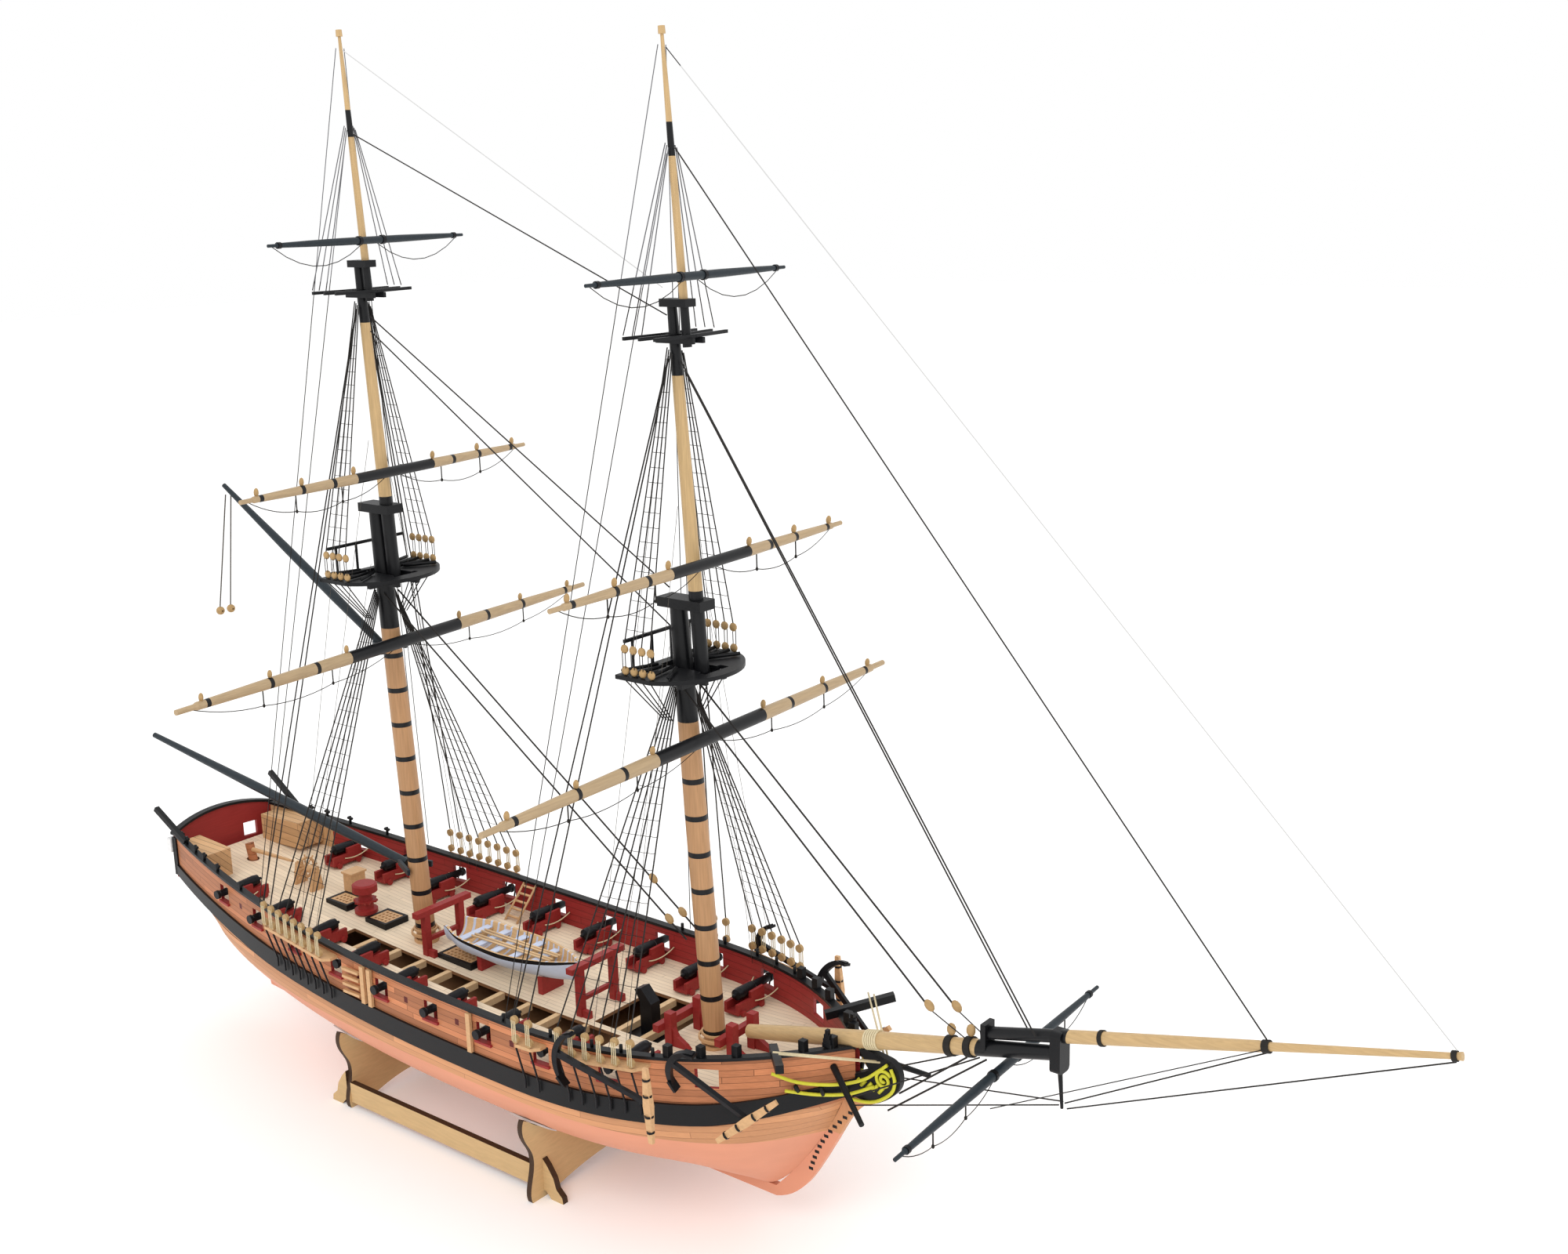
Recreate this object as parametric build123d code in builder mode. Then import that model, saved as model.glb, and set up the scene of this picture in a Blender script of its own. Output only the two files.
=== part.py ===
"""Display model of a two-masted square-rigged brig on a cradle stand, at 1:64 scale.

Millimetres. +X is the bow, +Y is port, +Z is up. The origin is on the floor under the middle of the model.
"""
from build123d import *
import os
from math import atan2, cos, degrees, pi, radians, sin, sqrt

os.makedirs("parts", exist_ok=True)

# ---------------------------------------------------------------- driving dimensions
MID_X = -28.5            # widest section
STERN_X = -307.0         # after end of the sides
STEM_X = 129.5           # where the two rails meet
BREADTH = 60.0           # greatest half breadth at the rail
STERN_NARROWING = 21.0   # loss of half breadth 248 mm aft of the widest section
SHEER_LOW_X = -17.0
SHEER_LOW_Z = 90.6       # rail top at the lowest point of the sheer
KEEL_Z = 14.0            # underside of the keel above the floor
RABBET_Z = 19.0          # where the planking meets the keel
KEEL_HALF = 1.6
SIDE_T = 1.8             # bulwark and topside planking
SHELL_T = 2.2            # bottom planking
RAIL_T = 1.4
DECK_DROP = 17.5         # rail top down to the deck
DECK_T = 1.6
LOWER_DECK_DROP = 33.0
WIDE = 90.0              # more than half the beam, for cuts
TALL = 140.0             # more than the depth of the hull, for cuts

MAIN_MAST = (-136.04, -0.05807)    # axis x at floor level, and its rake per mm of height
FORE_MAST = (55.02, -0.05786)
MAIN_TOPMAST_AHEAD = 7.9           # topmast axis ahead of the lower mast axis
FORE_TOPMAST_AHEAD = 10.35
MAIN_BRACE = -5.4                  # yard angles at rest, degrees
FORE_BRACE = -3.0

RUDDER_FOOT_X = -264.7             # rudder axis at keel level
RUDDER_RAKE = -0.2593              # x per mm of height
GUN_PITCH = 35.3
FIRST_GUN_X = -244.6
GUN_COUNT = 9
CRADLE_X = (-152.8, -16.6)
SEAM = 0.1               # opening between the bottom and the topside planking
PLY = 3.0
HATCH_STRIP_Y = (-29.5, -15.5)     # unplanked strip of the starboard deck
HATCH_STRIP_X = (-178.0, 8.0)
BEAM_PITCH = 18.6


# ---------------------------------------------------------------- hull lines
def rail_z(x):
    """Height of the rail's top."""
    curve = 2.06e-4 if x < SHEER_LOW_X else 4.0e-4
    return SHEER_LOW_Z + curve * (x - SHEER_LOW_X) ** 2


def half_breadth(x):
    """Half breadth of the topsides, which stand upright."""
    if x > MID_X:
        run = min((x - MID_X) / (STEM_X - MID_X), 1.0)
        return BREADTH * (1 - run**2.8)
    return BREADTH - STERN_NARROWING * ((MID_X - x) / 248) ** 2.6


def turn_z(x):
    """Height at which the upright topside turns into the rounded bottom."""
    drop = 31.0
    if x < -240:
        drop -= 7.0 * (-240 - x) / 67
    if x > 85:
        drop -= 9.0 * (x - 85) / 43
    return rail_z(x) - drop


def wale_top_z(x):
    drop = 21.0
    if x < -200:
        drop -= 3.0 * (-200 - x) / 107
    if x > 85:
        drop -= 6.0 * (x - 85) / 43
    return rail_z(x) - drop


def wale_bottom_z(x):
    drop = 30.5
    if x < -200:
        drop -= 6.5 * (-200 - x) / 107
    if x > 85:
        drop -= 8.5 * (x - 85) / 43
    return rail_z(x) - drop


def bottom_z(x):
    """Lowest point of the planking: keel, stem rabbet, sternpost and counter."""
    z = RABBET_Z
    if x > 84:
        z = 99 - 80 * (max(128 - x, 0) / 44) ** (1 / 1.75)
    if x < -258.8:
        z = KEEL_Z + (-257.5 - x) / -RUDDER_RAKE
    if x < -272.5:
        z = 72 + (-272.5 - x) * 0.29
    return min(z, turn_z(x) - 0.6)


def section_y(x, z):
    """Half breadth of the rounded bottom at height z."""
    low = bottom_z(x)
    rise = min(max((z - low) / (turn_z(x) - low), 0.0), 1.0)
    if x > MID_X:
        end = (x - MID_X) / 156
        fullness = 1.25 + 1.35 * (1 - end**2)
        hollow = 1 + 0.25 * end**2
    else:
        end = (MID_X - x) / 279
        fullness = 1.1 + 1.5 * (1 - end**3)
        hollow = 1 + 1.3 * end**3
    shape = (1 - (1 - rise) ** fullness) ** hollow
    return KEEL_HALF + (half_breadth(x) - KEEL_HALF) * shape


def plan_point(x, inset):
    """Point of the topside's plan line, moved inboard by inset."""
    slope = (half_breadth(x + 0.5) - half_breadth(x - 0.5)) if x < STEM_X - 0.5 else -1.06
    size = sqrt(1 + slope**2)
    return (x + inset * slope / size, half_breadth(x) - inset / size)


def bow_x(inset):
    """Station at which a plan line with this inset reaches the side of the stem."""
    return MID_X + (STEM_X - MID_X) * (1 - (KEEL_HALF + inset / 1.46) / BREADTH) ** (1 / 2.8)


def plan_line(inset, start=STERN_X, end=None, count=20):
    """Plan line as points, closer together near the bow."""
    end = bow_x(inset) if end is None else end
    return [plan_point(start + (end - start) * (1 - (1 - i / count) ** 1.5), inset) for i in range(count + 1)]


def mast_x(mast, z, ahead=0.0):
    return mast[0] + mast[1] * z + ahead


def rudder_x(z):
    return RUDDER_FOOT_X + RUDDER_RAKE * (z - KEEL_Z)


def deck_z(x):
    return rail_z(x) - DECK_DROP


# ---------------------------------------------------------------- helpers that draw in the open part
def along(start, end):
    start, end = Vector(*start), Vector(*end)
    return (end - start).normalized(), (end - start).length


def rod(start, end, radius, end_radius=None):
    """Round rod from start to end, tapered when end_radius is given."""
    direction, length = along(start, end)
    with BuildSketch(Plane(origin=start, z_dir=direction)) as near:
        Circle(radius)
    if end_radius is None:
        extrude(near.sketch, amount=length, dir=direction)
        return
    with BuildSketch(Plane(origin=end, z_dir=direction)) as far:
        Circle(end_radius)
    loft([near.sketch, far.sketch])


def turned(start, end, profile):
    """Turned spar: profile is (fraction of the length, radius) pairs."""
    direction, length = along(start, end)
    across = Vector(0, 0, 1) if abs(direction.Z) < 0.9 else Vector(0, 1, 0)
    normal = direction.cross(across).normalized()
    outline = [(0, 0)] + [(part * length, radius) for part, radius in profile] + [(length, 0)]
    with BuildSketch(Plane(origin=start, x_dir=direction, z_dir=normal)) as half:
        with BuildLine():
            Polyline(*outline, close=True)
        make_face()
    revolve(half.sketch, axis=Axis(start, direction))


def slab(x_span, y_span, z_span, mode=Mode.ADD):
    """Box between two values on each axis."""
    spans = (x_span, y_span, z_span)
    with Locations(tuple((a + b) / 2 for a, b in spans)):
        Box(*(abs(b - a) for a, b in spans), mode=mode)


def beam(start, end, width, depth):
    """Squared timber from start to end."""
    direction, length = along(start, end)
    across = Vector(0, 0, 1) if abs(direction.Z) < 0.9 else Vector(1, 0, 0)
    with BuildSketch(Plane(origin=start, x_dir=direction.cross(across), z_dir=direction)) as end_face:
        Rectangle(width, depth)
    extrude(end_face.sketch, amount=length, dir=direction)


def plate_xz(points, y_low, y_high, mode=Mode.ADD):
    """Plate cut to a side-view outline."""
    with BuildSketch(Plane.XZ.offset(-y_high)) as outline:
        with BuildLine():
            Polyline(*points, close=True)
        make_face()
    extrude(outline.sketch, amount=y_high - y_low, dir=(0, -1, 0), mode=mode)


# ---------------------------------------------------------------- shared cutting solids
BAND_X = [STERN_X - 12 + i * (STEM_X + 16 - STERN_X) / 24 for i in range(25)]


def sheer_band(top, bottom):
    """Everything between two curves of the side view, given as functions of x."""
    with BuildPart() as band:
        with BuildSketch(Plane.XZ):
            with BuildLine():
                upper = Spline(*[(x, top(x)) for x in BAND_X])
                lower = Spline(*[(x, bottom(x)) for x in BAND_X])
                Line(upper @ 0, lower @ 0)
                Line(upper @ 1, lower @ 1)
            make_face()
        extrude(amount=WIDE, both=True)
    return band.part


def side_ring(outer, inner, side, start=STERN_X):
    """Upright wall along one side between two insets; side is 1 for port and -1 for starboard."""
    with BuildPart() as ring:
        with BuildSketch():
            with BuildLine():
                out = Spline(*[(x, side * y) for x, y in plan_line(outer, start)])
                back = Spline(*[(x, side * y) for x, y in plan_line(inner, start)])
                Line(out @ 0, back @ 0)
                Line(out @ 1, back @ 1)
            make_face()
        extrude(amount=TALL)
    return ring.part


deck_surface_band = sheer_band(deck_z, lambda x: deck_z(x) - DECK_T)
bulwark_band = sheer_band(lambda x: rail_z(x) - RAIL_T, deck_z)
topside_band = sheer_band(deck_z, lambda x: turn_z(x) + SEAM)
rail_band = sheer_band(rail_z, lambda x: rail_z(x) - RAIL_T)
wale_band = sheer_band(wale_top_z, wale_bottom_z)
lower_deck_band = sheer_band(lambda x: rail_z(x) - LOWER_DECK_DROP,
                             lambda x: rail_z(x) - LOWER_DECK_DROP - 1.5)
below_lower_deck = sheer_band(lambda x: rail_z(x) - LOWER_DECK_DROP - 1.5, lambda x: 0.0)

with BuildPart() as deck_plan:
    with BuildSketch():
        with BuildLine():
            port_line = Spline(*plan_line(SIDE_T))
            starboard_line = Spline(*[(x, -y) for x, y in plan_line(SIDE_T)])
            Line(port_line @ 0, starboard_line @ 0)
            Line(port_line @ 1, starboard_line @ 1)
        make_face()
    extrude(amount=TALL)


def hull_sections(stations, shrink, lift, top_gap, smooth):
    """Loft of the rounded bottom through its cross sections."""
    with BuildPart() as body:
        for x in stations:
            low = bottom_z(x) + lift
            high = turn_z(x) - top_gap
            heights = [low + (high - low) * (i / 6) ** 1.6 for i in range(7)]
            side = [(max(section_y(x, z) - shrink, KEEL_HALF * 0.9), z) for z in heights]
            with BuildSketch(Plane(origin=(x, 0, 0), x_dir=(0, 1, 0), z_dir=(1, 0, 0))):
                with BuildLine():
                    port = Spline(*side)
                    starboard = Spline(*[(-y, z) for y, z in side])
                    Line(port @ 0, starboard @ 0)
                    Line(port @ 1, starboard @ 1)
                make_face()
        loft(ruled=not smooth)
    return body.part


MAIN_STATIONS = [-257, -240, -215, -185, -150, -115, -75, -28.5, 10, 40, 62, 80, 92, 102, 110, 116, 121,
                 124.5, 127.5]
STERN_STATIONS = [-307, -297, -287, -279, -272.5, -268, -263, -257]
INNER_STATIONS = [-245, -215, -185, -150, -115, -75, -28.5, 10, 40, 62, 80, 92, 102]

bottom_body = hull_sections(MAIN_STATIONS, 0, 0, SEAM, True)
stern_body = hull_sections(STERN_STATIONS, 0, 0, SEAM, False)
hollow_body = hull_sections(INNER_STATIONS, SHELL_T, 3.0, -1.0, True)

topside_walls = [side_ring(0, SIDE_T, side) & topside_band for side in (1, -1)]
rudder_axis_dir = Vector(RUDDER_RAKE, 0, 1).normalized()
STOCK_R = 2.4
TRUNK_R = 3.3
TRUNK_Z = (60.0, 100.0)

BOWSPRIT = ((70.5, 0.0, 87.6), (220.8, 0.0, 122.6))
BOWSPRIT_HOLE_R = 4.0
with BuildPart() as bowsprit_way:
    rod(*BOWSPRIT, BOWSPRIT_HOLE_R)


def trimmed(part, *others):
    """The part with other pieces cut away from it."""
    with BuildPart() as result:
        add(part)
        for other in others:
            add(other, mode=Mode.SUBTRACT)
    return result.part


# ---------------------------------------------------------------- hull
with BuildPart() as hull_planking:
    add(bottom_body)
    add(stern_body)
    add(hollow_body, mode=Mode.SUBTRACT)
    for wall in topside_walls:
        add(wall)
    trunk_start = (rudder_x(TRUNK_Z[0]), 0, TRUNK_Z[0])
    with BuildSketch(Plane(origin=trunk_start, z_dir=rudder_axis_dir)):
        Circle(TRUNK_R)
    extrude(amount=TRUNK_Z[1] - TRUNK_Z[0], mode=Mode.SUBTRACT)


def finish(part, name):
    """Labels a finished piece and writes it."""
    part.label = name
    export_step(part, f"parts/{name}.step")


finish(hull_planking.part, "hull_planking")

SPINE_HALF = 1.5
FRAME_X = [-232, -200, -168, -136, -104, -72, -40, -8, 24, 56, 88]
FRAME_T = 2.0
SPINE_TOP = 38.0

with BuildPart() as lower_deck_plate:
    add(hollow_body)
    add(lower_deck_band, mode=Mode.INTERSECT)

with BuildPart() as frame_slabs:
    for x in FRAME_X:
        slab((x, x + FRAME_T), (-WIDE, WIDE), (0, TALL))

with BuildPart() as spine_slab:
    slab((-244, 101), (-SPINE_HALF, SPINE_HALF), (0, SPINE_TOP))

under_lower_deck = hollow_body & below_lower_deck
with BuildPart() as spine:
    add(under_lower_deck)
    add(spine_slab.part, mode=Mode.INTERSECT)
    for x in FRAME_X:
        slab((x, x + FRAME_T), (-WIDE, WIDE), (SPINE_TOP / 2 + 9, TALL), mode=Mode.SUBTRACT)

with BuildPart() as hull_frames:
    add(under_lower_deck)
    add(frame_slabs.part, mode=Mode.INTERSECT)
    add(spine.part, mode=Mode.SUBTRACT)
    add(spine.part)
    add(lower_deck_plate.part)
finish(hull_frames.part, "hull_frames")

KEEL_GAP = 0.1
STEM_FACE = [(84.0, KEEL_Z), (97.0, 21.5), (109.0, 37.5), (119.5, 55.5), (127.0, 67.5), (133.5, 73.5)]
HEAD_FACE = [(133.5, 73.5), (144.5, 79.5), (150.0, 87.0), (149.0, 94.0), (144.0, 97.0)]
RABBET_X = [84, 92, 100, 107, 113, 118, 121, 123.5, 125.5]

with BuildPart() as keel_and_stem:
    with BuildSketch(Plane.XZ):
        with BuildLine():
            foot = Line((RUDDER_FOOT_X + 2.2, KEEL_Z), STEM_FACE[0])
            face = Spline(*STEM_FACE)
            head = Spline(*HEAD_FACE)
            Line(head @ 1, (133.0, 98.5))
            Line((133.0, 98.5), (128.6, 99.5))
            inner = Spline((128.6, 99.5), *[(x, bottom_z(x) - KEEL_GAP) for x in reversed(RABBET_X)])
            Line(inner @ 1, (-250.0, RABBET_Z - KEEL_GAP))
            Line((-250.0, RABBET_Z - KEEL_GAP), (-258.9, RABBET_Z - KEEL_GAP))
            Line((-258.9, RABBET_Z - KEEL_GAP), (-272.6, 71.7))
            Line((-272.6, 71.7), (-277.4, 73.0))
            Line((-277.4, 73.0), foot @ 0)
        make_face()
    extrude(amount=KEEL_HALF, both=True)
    add(bottom_body, mode=Mode.SUBTRACT)
    add(stern_body, mode=Mode.SUBTRACT)
    for side in (1, -1):
        add(side_ring(0, SIDE_T, side), mode=Mode.SUBTRACT)
    add(bowsprit_way.part, mode=Mode.SUBTRACT)
finish(keel_and_stem.part, "keel_and_stem")

WALE_T = 1.3
with BuildPart() as wales:
    for side in (1, -1):
        add(side_ring(-WALE_T, 0, side) & wale_band)
    add(keel_and_stem.part, mode=Mode.SUBTRACT)
finish(wales.part, "wales")

PORT_SIZE = (9.0, 8.5)
PORT_DROP = 9.4
BRIDLE_X = 79.5
gun_x = [FIRST_GUN_X + i * GUN_PITCH for i in range(GUN_COUNT)]


def bulwark(side):
    """Upright planking above the deck, with its gun ports."""
    with BuildPart() as wall:
        add(side_ring(0, SIDE_T, side) & bulwark_band)
        for x in gun_x + [BRIDLE_X]:
            middle = rail_z(x) - PORT_DROP
            half_width, half_height = PORT_SIZE[0] / 2, PORT_SIZE[1] / 2
            across = (10 * side, WIDE * side)
            slab((x - half_width, x + half_width), across, (middle - half_height, middle + half_height),
                 mode=Mode.SUBTRACT)
        add(bowsprit_way.part, mode=Mode.SUBTRACT)
    return wall.part


bulwark_port = bulwark(1)
bulwark_starboard = bulwark(-1)
finish(bulwark_port, "bulwark_port")
finish(bulwark_starboard, "bulwark_starboard")

# ---------------------------------------------------------------- stern
TRANSOM_T = 2.0
TRANSOM_BULGE = 5.0
TRANSOM_LOW = 82.0
TAFFRAIL_CORNER_Z = rail_z(STERN_X)
TAFFRAIL_CROWN = 5.0
stern_half = half_breadth(STERN_X)


def stern_slab(forward, aft, half):
    """Curved wall across the stern between two offsets from the side's after end."""
    with BuildPart() as wall:
        with BuildSketch():
            with BuildLine():
                front = ThreePointArc((STERN_X - forward, -half), (STERN_X - forward - TRANSOM_BULGE, 0),
                                      (STERN_X - forward, half))
                back = ThreePointArc((STERN_X - aft, -half), (STERN_X - aft - TRANSOM_BULGE, 0),
                                     (STERN_X - aft, half))
                Line(front @ 0, back @ 0)
                Line(front @ 1, back @ 1)
            make_face()
        extrude(amount=TALL)
    return wall.part


def arched_face(low, high, half):
    """Solid bounded above by the taffrail's arch."""
    with BuildPart() as face:
        with BuildSketch(Plane.YZ):
            with BuildLine():
                arch = ThreePointArc((-half, high), (0, high + TAFFRAIL_CROWN), (half, high))
                if low > TRANSOM_LOW:
                    under = ThreePointArc((-half, low), (0, low + TAFFRAIL_CROWN), (half, low))
                else:
                    under = Line((-half, low), (half, low))
                Line(arch @ 0, under @ 0)
                Line(arch @ 1, under @ 1)
            make_face()
        extrude(amount=400, both=True)
    return face.part


WINDOW_Y = 18.0
with BuildPart() as transom:
    add(stern_slab(0.0, TRANSOM_T, stern_half))
    add(arched_face(TRANSOM_LOW, TAFFRAIL_CORNER_Z - RAIL_T, stern_half), mode=Mode.INTERSECT)
    for side in (1, -1):
        slab((STERN_X - 12, STERN_X + 3), (side * WINDOW_Y - 4, side * WINDOW_Y + 4), (90.5, 98.5),
             mode=Mode.SUBTRACT)
finish(transom.part, "transom")

with BuildPart() as rail_cap:
    for side in (1, -1):
        add(side_ring(-1.0, 2.8, side) & rail_band)
    add(stern_slab(-1.0, 3.2, stern_half + 1.0) & arched_face(TAFFRAIL_CORNER_Z - RAIL_T, TAFFRAIL_CORNER_Z,
                                                             stern_half + 1.0))
    slab((126.0, 129.0), (-3.0, 3.0), (rail_z(127) - RAIL_T, rail_z(127)))
    for part in (keel_and_stem.part, transom.part, bowsprit_way.part):
        add(part, mode=Mode.SUBTRACT)
finish(rail_cap.part, "rail_cap")

# ---------------------------------------------------------------- deck
MAIN_HATCH = ((-121.0, -97.0), (-10.0, 10.0))
AFT_HATCH = ((-180.0, -164.0), (-7.0, 8.0))
LADDERWAY = ((-213.0, -196.0), (-6.0, 7.0))
STOVE_WELL = ((-12.0, 27.0), (-12.0, 27.0))
mast_holes = [(mast_x(MAIN_MAST, 76), 5.4), (mast_x(FORE_MAST, 75), 5.2)]

with BuildPart() as deck:
    add(deck_plan.part & deck_surface_band)
    slab(HATCH_STRIP_X, HATCH_STRIP_Y, (0, TALL), mode=Mode.SUBTRACT)
    for x_span, y_span in (MAIN_HATCH, AFT_HATCH, LADDERWAY, STOVE_WELL):
        slab(x_span, y_span, (0, TALL), mode=Mode.SUBTRACT)
    for x, radius in mast_holes:
        with Locations((x, 0, 75)):
            Cylinder(radius, 30, mode=Mode.SUBTRACT)
    trunk_start = (rudder_x(TRUNK_Z[0]), 0, TRUNK_Z[0])
    with BuildSketch(Plane(origin=trunk_start, z_dir=rudder_axis_dir)):
        Circle(TRUNK_R)
    extrude(amount=TRUNK_Z[1] - TRUNK_Z[0], mode=Mode.SUBTRACT)
finish(deck.part, "deck")

with BuildPart() as deck_beams:
    beam_x = HATCH_STRIP_X[0] + 16
    while beam_x < HATCH_STRIP_X[1] - 4:
        top = deck_z(beam_x) - 0.4
        slab((beam_x - 1.5, beam_x + 1.5), (HATCH_STRIP_Y[0], HATCH_STRIP_Y[1]), (top - 3.2, top))
        beam_x += BEAM_PITCH
    for x in (2.0, 17.0):
        top = deck_z(x) - 0.4
        slab((x - 1.5, x + 1.5), (STOVE_WELL[1][0], STOVE_WELL[1][1]), (top - 3.2, top))
finish(trimmed(deck_beams.part, deck.part), "deck_beams")

COAMING_T = 1.6
COAMING_H = 3.0


def coaming(x_span, y_span, height=COAMING_H):
    """Raised frame round a hatch."""
    base = deck_z(sum(x_span) / 2) - DECK_T - 0.2
    top = base + DECK_T + height
    slab(x_span, y_span, (base, top))
    slab((x_span[0] + COAMING_T, x_span[1] - COAMING_T), (y_span[0] + COAMING_T, y_span[1] - COAMING_T),
         (base - 1, top + 1), mode=Mode.SUBTRACT)


def grating(x_span, y_span, pitch=2.6, bar=1.1):
    """Open lattice that fills a hatch."""
    top = deck_z(sum(x_span) / 2) + COAMING_H - 0.4
    low = top - 1.4
    inner_x = (x_span[0] + COAMING_T, x_span[1] - COAMING_T)
    inner_y = (y_span[0] + COAMING_T, y_span[1] - COAMING_T)
    slab(inner_x, inner_y, (low, top))
    columns = int((inner_x[1] - inner_x[0] - bar) / pitch)
    rows = int((inner_y[1] - inner_y[0] - bar) / pitch)
    with Locations(((inner_x[0] + inner_x[1]) / 2, (inner_y[0] + inner_y[1]) / 2, (low + top) / 2)):
        with GridLocations(pitch, pitch, columns, rows):
            Box(pitch - bar, pitch - bar, 3.0, mode=Mode.SUBTRACT)


with BuildPart() as hatch_coamings:
    for x_span, y_span in (MAIN_HATCH, AFT_HATCH, LADDERWAY):
        coaming(x_span, y_span)
finish(trimmed(hatch_coamings.part, deck.part), "hatch_coamings")

with BuildPart() as gratings:
    for x_span, y_span in (MAIN_HATCH, AFT_HATCH, LADDERWAY):
        grating(x_span, y_span)
finish(gratings.part, "gratings")

STOVE_X = 12.0
stove_low = deck_z(STOVE_X) - LOWER_DECK_DROP + DECK_DROP
with BuildPart() as stove:
    slab((STOVE_X - 10.5, STOVE_X + 9), (-8, 8), (stove_low, deck_z(STOVE_X) - 4.2))
    slab((STOVE_X - 3.4, STOVE_X + 3.4), (-3.0, 3.0), (stove_low, deck_z(STOVE_X) + 12))
    with BuildSketch(Plane.XZ.offset(-3.0)):
        with BuildLine():
            Polyline((STOVE_X - 3.4, deck_z(STOVE_X) + 12), (STOVE_X + 3.4, deck_z(STOVE_X) + 12),
                     (STOVE_X - 2.6, deck_z(STOVE_X) + 18.5), (STOVE_X - 6.4,
                                                               deck_z(STOVE_X) + 17), close=True)
        make_face()
    extrude(amount=6.0)
finish(trimmed(stove.part, deck.part, hull_frames.part), "stove_chimney")

# ---------------------------------------------------------------- gallows, bitts and deck furniture
GALLOWS_MAIN_X = -127.0
GALLOWS_FORE_X = -21.0
BITTS_AFT_X = 33.0
BITTS_FORE_X = 66.5


def gallows(x, post_y, beam_y, height):
    """Two posts and a cross beam standing on the deck."""
    base = deck_z(x)
    for side in (1, -1):
        slab((x - 1.7, x + 1.7), (side * post_y - 1.7, side * post_y + 1.7), (base, base + height))
        slab((x + 1.7, x + 6.0), (side * post_y - 1.2, side * post_y + 1.2), (base, base + 3.5))
    slab((x - 2.0, x + 2.0), (-beam_y, beam_y), (base + height, base + height + 2.8))
    slab((x - 1.0, x + 1.0), (-post_y, post_y), (base + 7.0, base + 9.0))


def riding_bitts(x, post_y, beam_y, height):
    """Bitt posts with a cross beam and forward knees."""
    base = deck_z(x)
    for side in (1, -1):
        middle = side * post_y
        slab((x - 2.0, x + 2.0), (middle - 1.9, middle + 1.9), (base, base + height))
        plate_xz([(x + 2.0, base), (x + 12.0, base), (x + 9.0, base + 2.6), (x + 4.4, base + 5.0),
                  (x + 2.0, base + 8.6)], middle - 1.2, middle + 1.2)
    slab((x - 5.2, x - 2.0), (-beam_y, beam_y), (base + 7.2, base + 10.6))


with BuildPart() as gallows_and_bitts:
    gallows(GALLOWS_MAIN_X, 11.0, 17.5, 21.0)
    gallows(GALLOWS_FORE_X, 11.0, 17.5, 22.5)
    riding_bitts(BITTS_AFT_X, 9.5, 15.5, 15.5)
    riding_bitts(BITTS_FORE_X, 7.0, 13.0, 16.5)
finish(trimmed(gallows_and_bitts.part, deck.part, bowsprit_way.part), "gallows_and_bitts")

BINNACLE = (-214.0, 14.0)
with BuildPart() as binnacle:
    base = deck_z(BINNACLE[0])
    slab((BINNACLE[0] - 3.5, BINNACLE[0] + 3.5), (BINNACLE[1] - 4.5, BINNACLE[1] + 4.5), (base, base + 10))
    slab((BINNACLE[0] - 4.2, BINNACLE[0] + 4.2), (BINNACLE[1] - 5.2, BINNACLE[1] + 5.2), (base + 10,
                                                                                          base + 11))
finish(trimmed(binnacle.part, deck.part), "binnacle")

LOCKER_X = (-302.0, -271.0)
with BuildPart() as stern_lockers:
    for side in (1, -1):
        base = deck_z(-286.0)
        outline = [(LOCKER_X[0], side * 20.0), (LOCKER_X[1], side * 22.0),
                   (LOCKER_X[1], side * (half_breadth(LOCKER_X[1]) - SIDE_T - 0.4)),
                   (LOCKER_X[0], side * (half_breadth(LOCKER_X[0]) - SIDE_T - 0.6))]
        with BuildSketch(Plane.XY.offset(base + 1.0)):
            with BuildLine():
                Polyline(*outline, close=True)
            make_face()
        extrude(amount=15.0)
    add(deck.part, mode=Mode.SUBTRACT)
    for wall in (bulwark_port, bulwark_starboard):
        add(wall, mode=Mode.SUBTRACT)
finish(trimmed(stern_lockers.part, rail_cap.part), "stern_lockers")

# ---------------------------------------------------------------- steering gear
WHEEL_X = -236.5
WHEEL_Z = deck_z(WHEEL_X) + 10.2
WHEEL_R = 7.4
SPINDLE_R = 0.8
POST_X = (-242.0, -228.5)

with BuildPart() as wheel_stand:
    for x in POST_X:
        with BuildSketch(Plane.YZ.offset(x - 1.0)):
            with BuildLine():
                Polyline((-4.0, deck_z(x)), (4.0, deck_z(x)), (1.8, WHEEL_Z + 2.2), (-1.8, WHEEL_Z + 2.2),
                         close=True)
            make_face()
        extrude(amount=2.0)
        with BuildSketch(Plane.YZ.offset(x - 2.0)):
            with Locations((0, WHEEL_Z)):
                Circle(SPINDLE_R + 0.08)
        extrude(amount=4.0, mode=Mode.SUBTRACT)
finish(trimmed(wheel_stand.part, deck.part), "wheel_stand")

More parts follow.
